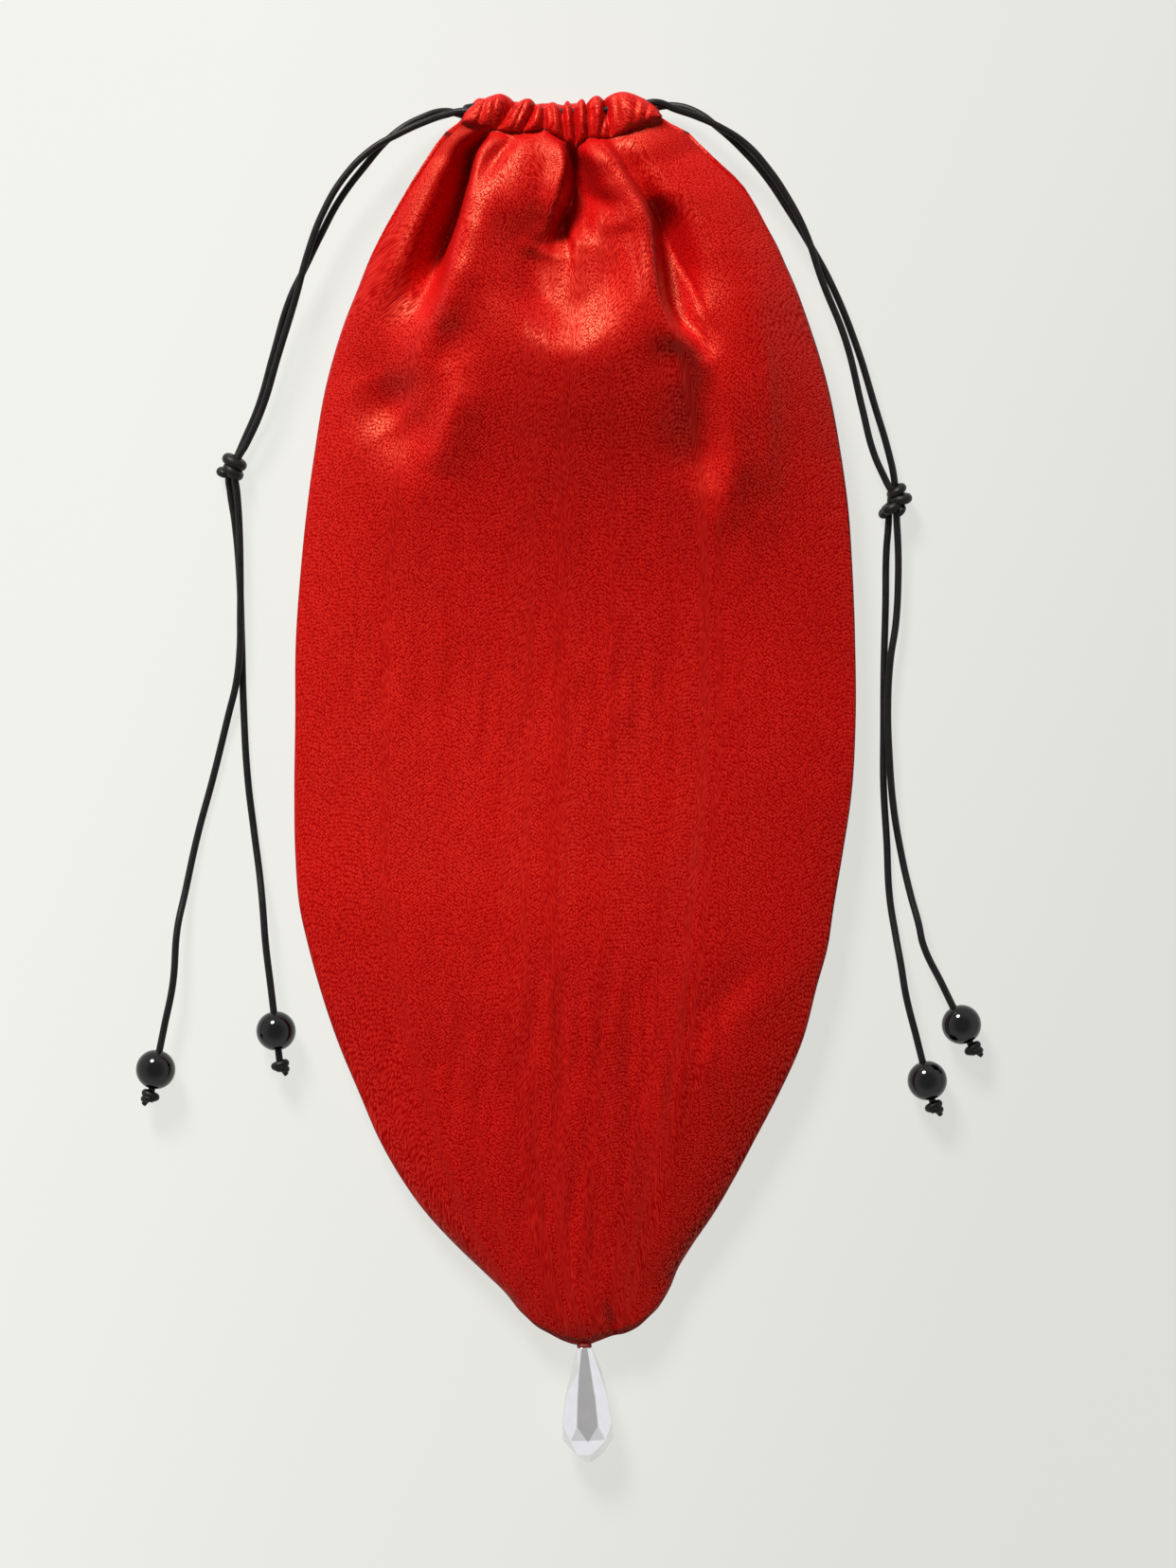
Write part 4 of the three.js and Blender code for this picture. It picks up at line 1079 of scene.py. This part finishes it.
def satin_cloth():
    material, tree, surface = new_material("satin_woven_viscose")
    flat = add_node(tree, "UVMap", {"uv_map": "flat_cloth"}).outputs["UV"]
    lattice = add_node(
        tree, "Mapping",
        {"Scale": (1 / CROSSING_APART[0], 1 / CROSSING_APART[1], 1.0), "Rotation": (0.0, 0.0, math.pi / 4)},
        Vector=flat,
    )
    crossings = add_node(
        tree, "TexVoronoi", {"voronoi_dimensions": "2D", "Scale": math.sqrt(2), "Randomness": 0.6},
        Vector=lattice.outputs["Vector"],
    )
    crowns = add_node(tree, "MapRange", {"From Min": 0.62, "From Max": 0.12}, Value=crossings.outputs["Distance"])
    chance = add_node(tree, "SeparateColor", Color=crossings.outputs["Color"])
    strength = add_node(tree, "MapRange", {"To Min": 0.55, "To Max": 1.0}, Value=chance.outputs["Red"])
    times = {"operation": "MULTIPLY"}
    sparkle = add_node(tree, "Math", times, n0=crowns.outputs["Result"], n1=strength.outputs["Result"])
    dots = sparkle.outputs["Value"]
    along_yarn = add_node(tree, "Mapping", {"Scale": (*SLUBS_A_MM, 1.0)}, Vector=flat)
    slubs = add_node(
        tree, "TexNoise", {"Scale": 1.0, "Detail": 4.0, "Roughness": 0.6}, Vector=along_yarn.outputs["Vector"]
    )
    broad = add_node(tree, "TexNoise", {"Scale": DYE_CLOUDS_A_MM, "Detail": 2.0}, Vector=flat)
    middling = {"From Min": 0.3, "From Max": 0.7}
    streaked = add_node(tree, "MapRange", {**middling, "To Min": 0.86, "To Max": 1.08}, Value=slubs.outputs["Fac"])
    clouded = add_node(tree, "MapRange", {**middling, "To Min": 0.95, "To Max": 1.05}, Value=broad.outputs["Fac"])
    both = add_node(tree, "Math", times, n0=streaked.outputs["Result"], n1=clouded.outputs["Result"])
    # The base colour is painted lighter on the thread crowns. This is partly the weave's own pattern and partly a
    # painted sparkle of light, on top of the real gloss that the crowns get below.
    tone = add_node(tree, "ValToRGB", {"ramp": [(0.1, "ab0306"), (0.8, "e01012")]}, Fac=dots)
    colour = add_node(
        tree, "VectorMath", {"operation": "SCALE"}, n0=tone.outputs["Color"], Scale=both.outputs["Value"]
    )
    fuzz = add_node(tree, "TexNoise", {"Scale": FUZZ_A_MM, "Detail": 2.0, "Roughness": 0.6}, Vector=flat)
    weave = add_node(tree, "Bump", {"Strength": 1.0, "Distance": 0.09 * MM}, Height=fuzz.outputs["Fac"])
    shine = add_node(tree, "MapRange", {"To Min": 0.5, "To Max": 0.35}, Value=dots)
    gloss = add_node(
        tree, "MapRange", {"From Min": 0.15, "From Max": 0.75, "To Min": 0.1, "To Max": 1.0}, Value=dots
    )
    # Yarn has an IOR of about 1.54, and 1.74 gives the strong lights of this bright filament. It mirrors
    # in its own warm tone, and a fine down on it gives a little sheen.
    set_up(
        tree, surface,
        {
            "IOR": 1.74, "Specular Tint": linear("ff8c66"),
            "Sheen Weight": 0.04, "Sheen Roughness": 0.4, "Sheen Tint": linear("ff5a3c"),
        },
        Base_Color=colour.outputs["Vector"], Roughness=shine.outputs["Result"],
        Specular_IOR_Level=gloss.outputs["Result"], Normal=weave.outputs["Normal"],
    )
    return material


satin = satin_cloth()
dress(front_cloth, satin, "root", "cloth", "front_panel")
dress(back_cloth, satin, "root", "cloth", "back_panel")

# %% [markdown]
# ## The drop
# The teardrop is a casting of white metal with flat facets. Flat facets show one tone each, and their
# polished edges flash. The hull of a few chosen corners gives true flat facets, and a small bevel gives
# the edges.

# %% Faceted drop
DROP_LONG, DROP_WIDE, DROP_DEEP = 29.0, 13.8, 12.1
DROP_TOP = (2.3, cad_low.y / MM + DROP_LONG, DROP_DEEP / 2)
DROP_LEAN = math.radians(2.3)
# Rings of corners: share of the length, share of the half width, first angle in degrees, corners.
DROP_RINGS = [
    (0, 0.29, 22.5, 8), (0.2, 0.6, 112.5, 3), (0.42, 0.83, 22.5, 8), (0.66, 0.99, 22.5, 8), (0.8, 0.93, 0, 8),
    (0.93, 0.55, 22.5, 6), (1, 0.1, 0, 4),
]


def faceted_drop():
    points = []
    for down, reach, first, count in DROP_RINGS:
        for i in range(count):
            angle = math.radians(first + 360 * i / count)
            x = math.cos(angle) * reach * DROP_WIDE / 2
            z = math.sin(angle) * reach * DROP_DEEP / 2
            points.append((x, -down * DROP_LONG, z))
    points = np.array(points)
    turn = np.array([[math.cos(DROP_LEAN), -math.sin(DROP_LEAN)], [math.sin(DROP_LEAN), math.cos(DROP_LEAN)]])
    points[:, :2] = points[:, :2] @ turn.T
    points += DROP_TOP
    piece = mesh_of("silver_drop", points, [], smooth=False)
    work = bmesh.new()
    work.from_mesh(piece.data)
    hull = bmesh.ops.convex_hull(work, input=work.verts)
    spare = [v for v in hull["geom_interior"] if isinstance(v, bmesh.types.BMVert)]
    bmesh.ops.delete(work, geom=spare, context="VERTS")
    bmesh.ops.dissolve_limit(work, angle_limit=math.radians(4), verts=work.verts, edges=work.edges)
    work.to_mesh(piece.data)
    work.free()
    edges = piece.modifiers.new("polished_edges", "BEVEL")
    edges.width = 0.22 * MM
    edges.segments = 3
    edges.limit_method = "ANGLE"
    edges.angle_limit = math.radians(6)
    return piece


# %% [markdown]
# The casting is polished and then plated with bright silver. Silver mirrors nearly all light without a
# tint, and a polishing wheel leaves faint patches that are a little less sharp.

# %% Bright silver plate
HAZE = 3.0  # the size of the patches that the last polish leaves


def bright_silver():
    material, tree, surface = new_material("bright_silver_plate")
    place = add_node(tree, "TexCoord").outputs["Object"]
    haze = add_node(tree, "TexNoise", {"Scale": 1 / (HAZE * MM), "Detail": 4.0}, Vector=place).outputs["Fac"]
    buffed = add_node(tree, "MapRange", {"To Min": 0.05, "To Max": 0.13}, Value=haze)
    tone = add_node(tree, "ValToRGB", {"ramp": [(0, "e2e2e4"), (1, "f2f2f3")]}, Fac=haze)
    waves = add_node(tree, "Bump", {"Strength": 0.15, "Distance": 0.05 * MM}, Height=haze)
    set_up(
        tree, surface, {"Metallic": 1.0},
        Base_Color=tone.outputs["Color"], Roughness=buffed.outputs["Result"], Normal=waves.outputs["Normal"],
    )
    return material


silver = bright_silver()
drop = dress(faceted_drop(), silver, "drop", "silver", "drop")
print("drop facets:", len(drop.data.polygons))

# %% [markdown]
# The drop is glued on the end of the red thread that comes out of the tip. A small knot of that thread
# fills its mouth. Mercerised cotton is soaked in lye and stretched, which gives it a quiet sheen, and its
# twist shows as slanted bands.

# %% Thread at the tip
TWIST = 2.4  # length of one turn of the twist
COIL_STEPS = 56


def dyed_thread():
    material, tree, surface = new_material("mercerised_cotton_thread")
    place = add_node(tree, "TexCoord").outputs["Object"]
    twist = add_node(
        tree, "TexWave", {"Scale": 1 / (TWIST * MM), "Distortion": 2.0, "bands_direction": "DIAGONAL"}, Vector=place
    ).outputs["Fac"]
    # The twist's bands are painted shade and light: the colour is darker in the grooves between the plies, where the
    # bump is low, and lighter on the plies.
    tone = add_node(tree, "ValToRGB", {"ramp": [(0, "4a0808"), (1, "8e1814")]}, Fac=twist)
    ply = add_node(tree, "Bump", {"Strength": 0.5, "Distance": 0.05 * MM}, Height=twist)
    set_up(tree, surface, {"Roughness": 0.6}, Base_Color=tone.outputs["Color"], Normal=ply.outputs["Normal"])
    return material


thread = dyed_thread()
drop_x, drop_y, drop_z = DROP_TOP
thread_line = [(drop_x, drop_y + 0.9, drop_z), (drop_x, drop_y + 0.2, drop_z), (drop_x + 0.1, drop_y - 3, drop_z)]
coil = []
for i in range(COIL_STEPS):
    angle, rise = i / COIL_STEPS * 4 * math.pi, 0.05 + 0.5 * i / COIL_STEPS
    coil.append((drop_x + 1.35 * math.cos(angle), drop_y + rise, drop_z + 1.25 * math.sin(angle)))
thread_parts = [(through(thread_line, 0.4), 0.5, False), (np.array(coil), 0.52, False)]
thread_knot = tubes("tip_thread", thread_parts, sides=10)
dress(thread_knot, thread, "drop", "thread", "drop_thread")
print("tip thread:", triangles(thread_knot), "triangles")

# %% [markdown]
# ## Stitches
# One row of lockstitches holds the casing. Each stitch is a short length of thread, sunk at its ends.

# %% Casing stitches
STITCH_LONG, STITCH_GAP, STITCH_THICK = 1.5, 0.7, 0.16
STITCH_POINTS = 6
stitch_row = front_points[BACK_ROWS + FACE_ROWS - 1]


def stitches(name, row, lift):
    lengths = np.linalg.norm(np.diff(row, axis=0), axis=1)
    along = np.concatenate([[0], np.cumsum(lengths)])
    table = np.column_stack([along, row])
    parts = []
    for start in np.arange(0.8, along[-1] - STITCH_LONG, STITCH_LONG + STITCH_GAP):
        line = smooth_line(table, np.linspace(start, start + STITCH_LONG, STITCH_POINTS))
        line[:, 2] += lift * np.sin(np.linspace(0, math.pi, STITCH_POINTS))
        parts.append((line, STITCH_THICK, False))
    return tubes(name, parts, sides=6)


casing_stitches = stitches("casing_stitches", stitch_row, 0.16)
dress(casing_stitches, thread, "root", "thread")
print("stitches:", triangles(casing_stitches), "triangles")

# %% [markdown]
# ## Table, light and background
# A plain pale table, a large soft lamp from the top left, 33 degrees high, and a pale room. The lamp is a
# disc, because the beads mirror it. For the camera the table also glows a little, so that it stays pale
# while it keeps the pouch's shadow.

# %% What the camera and mirrors see
def seen_directly(tree):
    """1 for what the camera or a mirror sees, and 0 for light that only falls on other things."""
    ray = add_node(tree, "LightPath")
    adding = {"operation": "ADD", "use_clamp": True}
    seen = add_node(tree, "Math", adding, n0=ray.outputs["Is Camera Ray"], n1=ray.outputs["Is Glossy Ray"])
    return add_node(tree, "Math", adding, n0=seen.outputs["Value"], n1=ray.outputs["Is Transmission Ray"])


# %% Table
TABLE_GLOW = 0.86  # how much of the table's tone is its own glow
TABLE_HALF = 3000.0


def pale_table():
    material, tree, surface = new_material("painted_table")
    set_up(tree, surface, {"Base Color": linear("e9e8e6"), "Roughness": 0.9, "Specular IOR Level": 0.1})
    share = add_node(
        tree, "Math", {"operation": "MULTIPLY", 1: TABLE_GLOW}, n0=seen_directly(tree).outputs["Value"]
    )
    # The glow is painted light: brighter towards -X and a little towards +Y, and dimmer towards the bottom right, as
    # the lamp's light falls off across the table.
    place = add_node(tree, "TexCoord")
    across = add_node(tree, "SeparateXYZ", Vector=place.outputs["Object"])
    painted_light_across = add_node(
        tree, "Math", {"operation": "MULTIPLY_ADD", 1: -0.3}, n0=across.outputs["Y"], n2=across.outputs["X"]
    )
    painted_light_falloff = add_node(tree, "MapRange", {"From Min": 0.17, "From Max": -0.14}, Value=painted_light_across.outputs["Value"])
    pale = add_node(tree, "ValToRGB", {"ramp": [(0, "e0e0dc"), (1, "f5f5f0")]}, Fac=painted_light_falloff.outputs["Result"])
    glow = add_node(tree, "Emission", {"Strength": 1.0}, Color=pale.outputs["Color"])
    mix = add_node(
        tree, "MixShader", Fac=share.outputs["Value"], n1=surface.outputs["BSDF"], n2=glow.outputs["Emission"]
    )
    set_up(tree, tree.nodes["Material Output"], Surface=mix.outputs["Shader"])
    return material


corners = [(x * TABLE_HALF, y * TABLE_HALF, -0.1) for x, y in ((-1, -1), (1, -1), (1, 1), (-1, 1))]
table = mesh_of("table", corners, [(0, 1, 2, 3)])
table.data.materials.append(pale_table())

# %% Lamp and room
KEY_FROM = (112, 33)  # degrees round from +X, and above the table
KEY_AWAY, KEY_WIDE, KEY_POWER = 3.5, 1.1, 190.0
ROOM_FILL = 0.045
ROOM_SEEN = 1.0

turn, climb = (math.radians(angle) for angle in KEY_FROM)
toward = Vector((math.cos(turn) * math.cos(climb), math.sin(turn) * math.cos(climb), math.sin(climb)))
key = bpy.data.lights.new("key_lamp", "AREA")
key.shape = "DISK"
key.size = KEY_WIDE
key.energy = KEY_POWER
key.color = (1.0, 0.985, 0.96)
key_lamp = add_object("key_lamp", key)
key_lamp.location = toward * KEY_AWAY
key_lamp.rotation_mode = "QUATERNION"
key_lamp.rotation_quaternion = toward.to_track_quat("Z", "Y")

world = bpy.data.worlds.new("room")
bpy.context.scene.world = world
world.use_nodes = True
room = world.node_tree
sky = room.nodes["Background"]
level = add_node(
    room, "MapRange", {"To Min": ROOM_FILL, "To Max": ROOM_SEEN}, Value=seen_directly(room).outputs["Value"]
)
# A pale room with a dimmer ceiling, for what mirrors it.
way = add_node(room, "TexCoord")
height = add_node(room, "SeparateXYZ", Vector=way.outputs["Generated"])
dim = add_node(room, "ValToRGB", {"ramp": [(0.45, "f6f5f8"), (0.85, "b4b2b2")]}, Fac=height.outputs["Z"])
set_up(room, sky, Strength=level.outputs["Result"], Color=dim.outputs["Color"])

bpy.context.scene.view_settings.view_transform = "Standard"
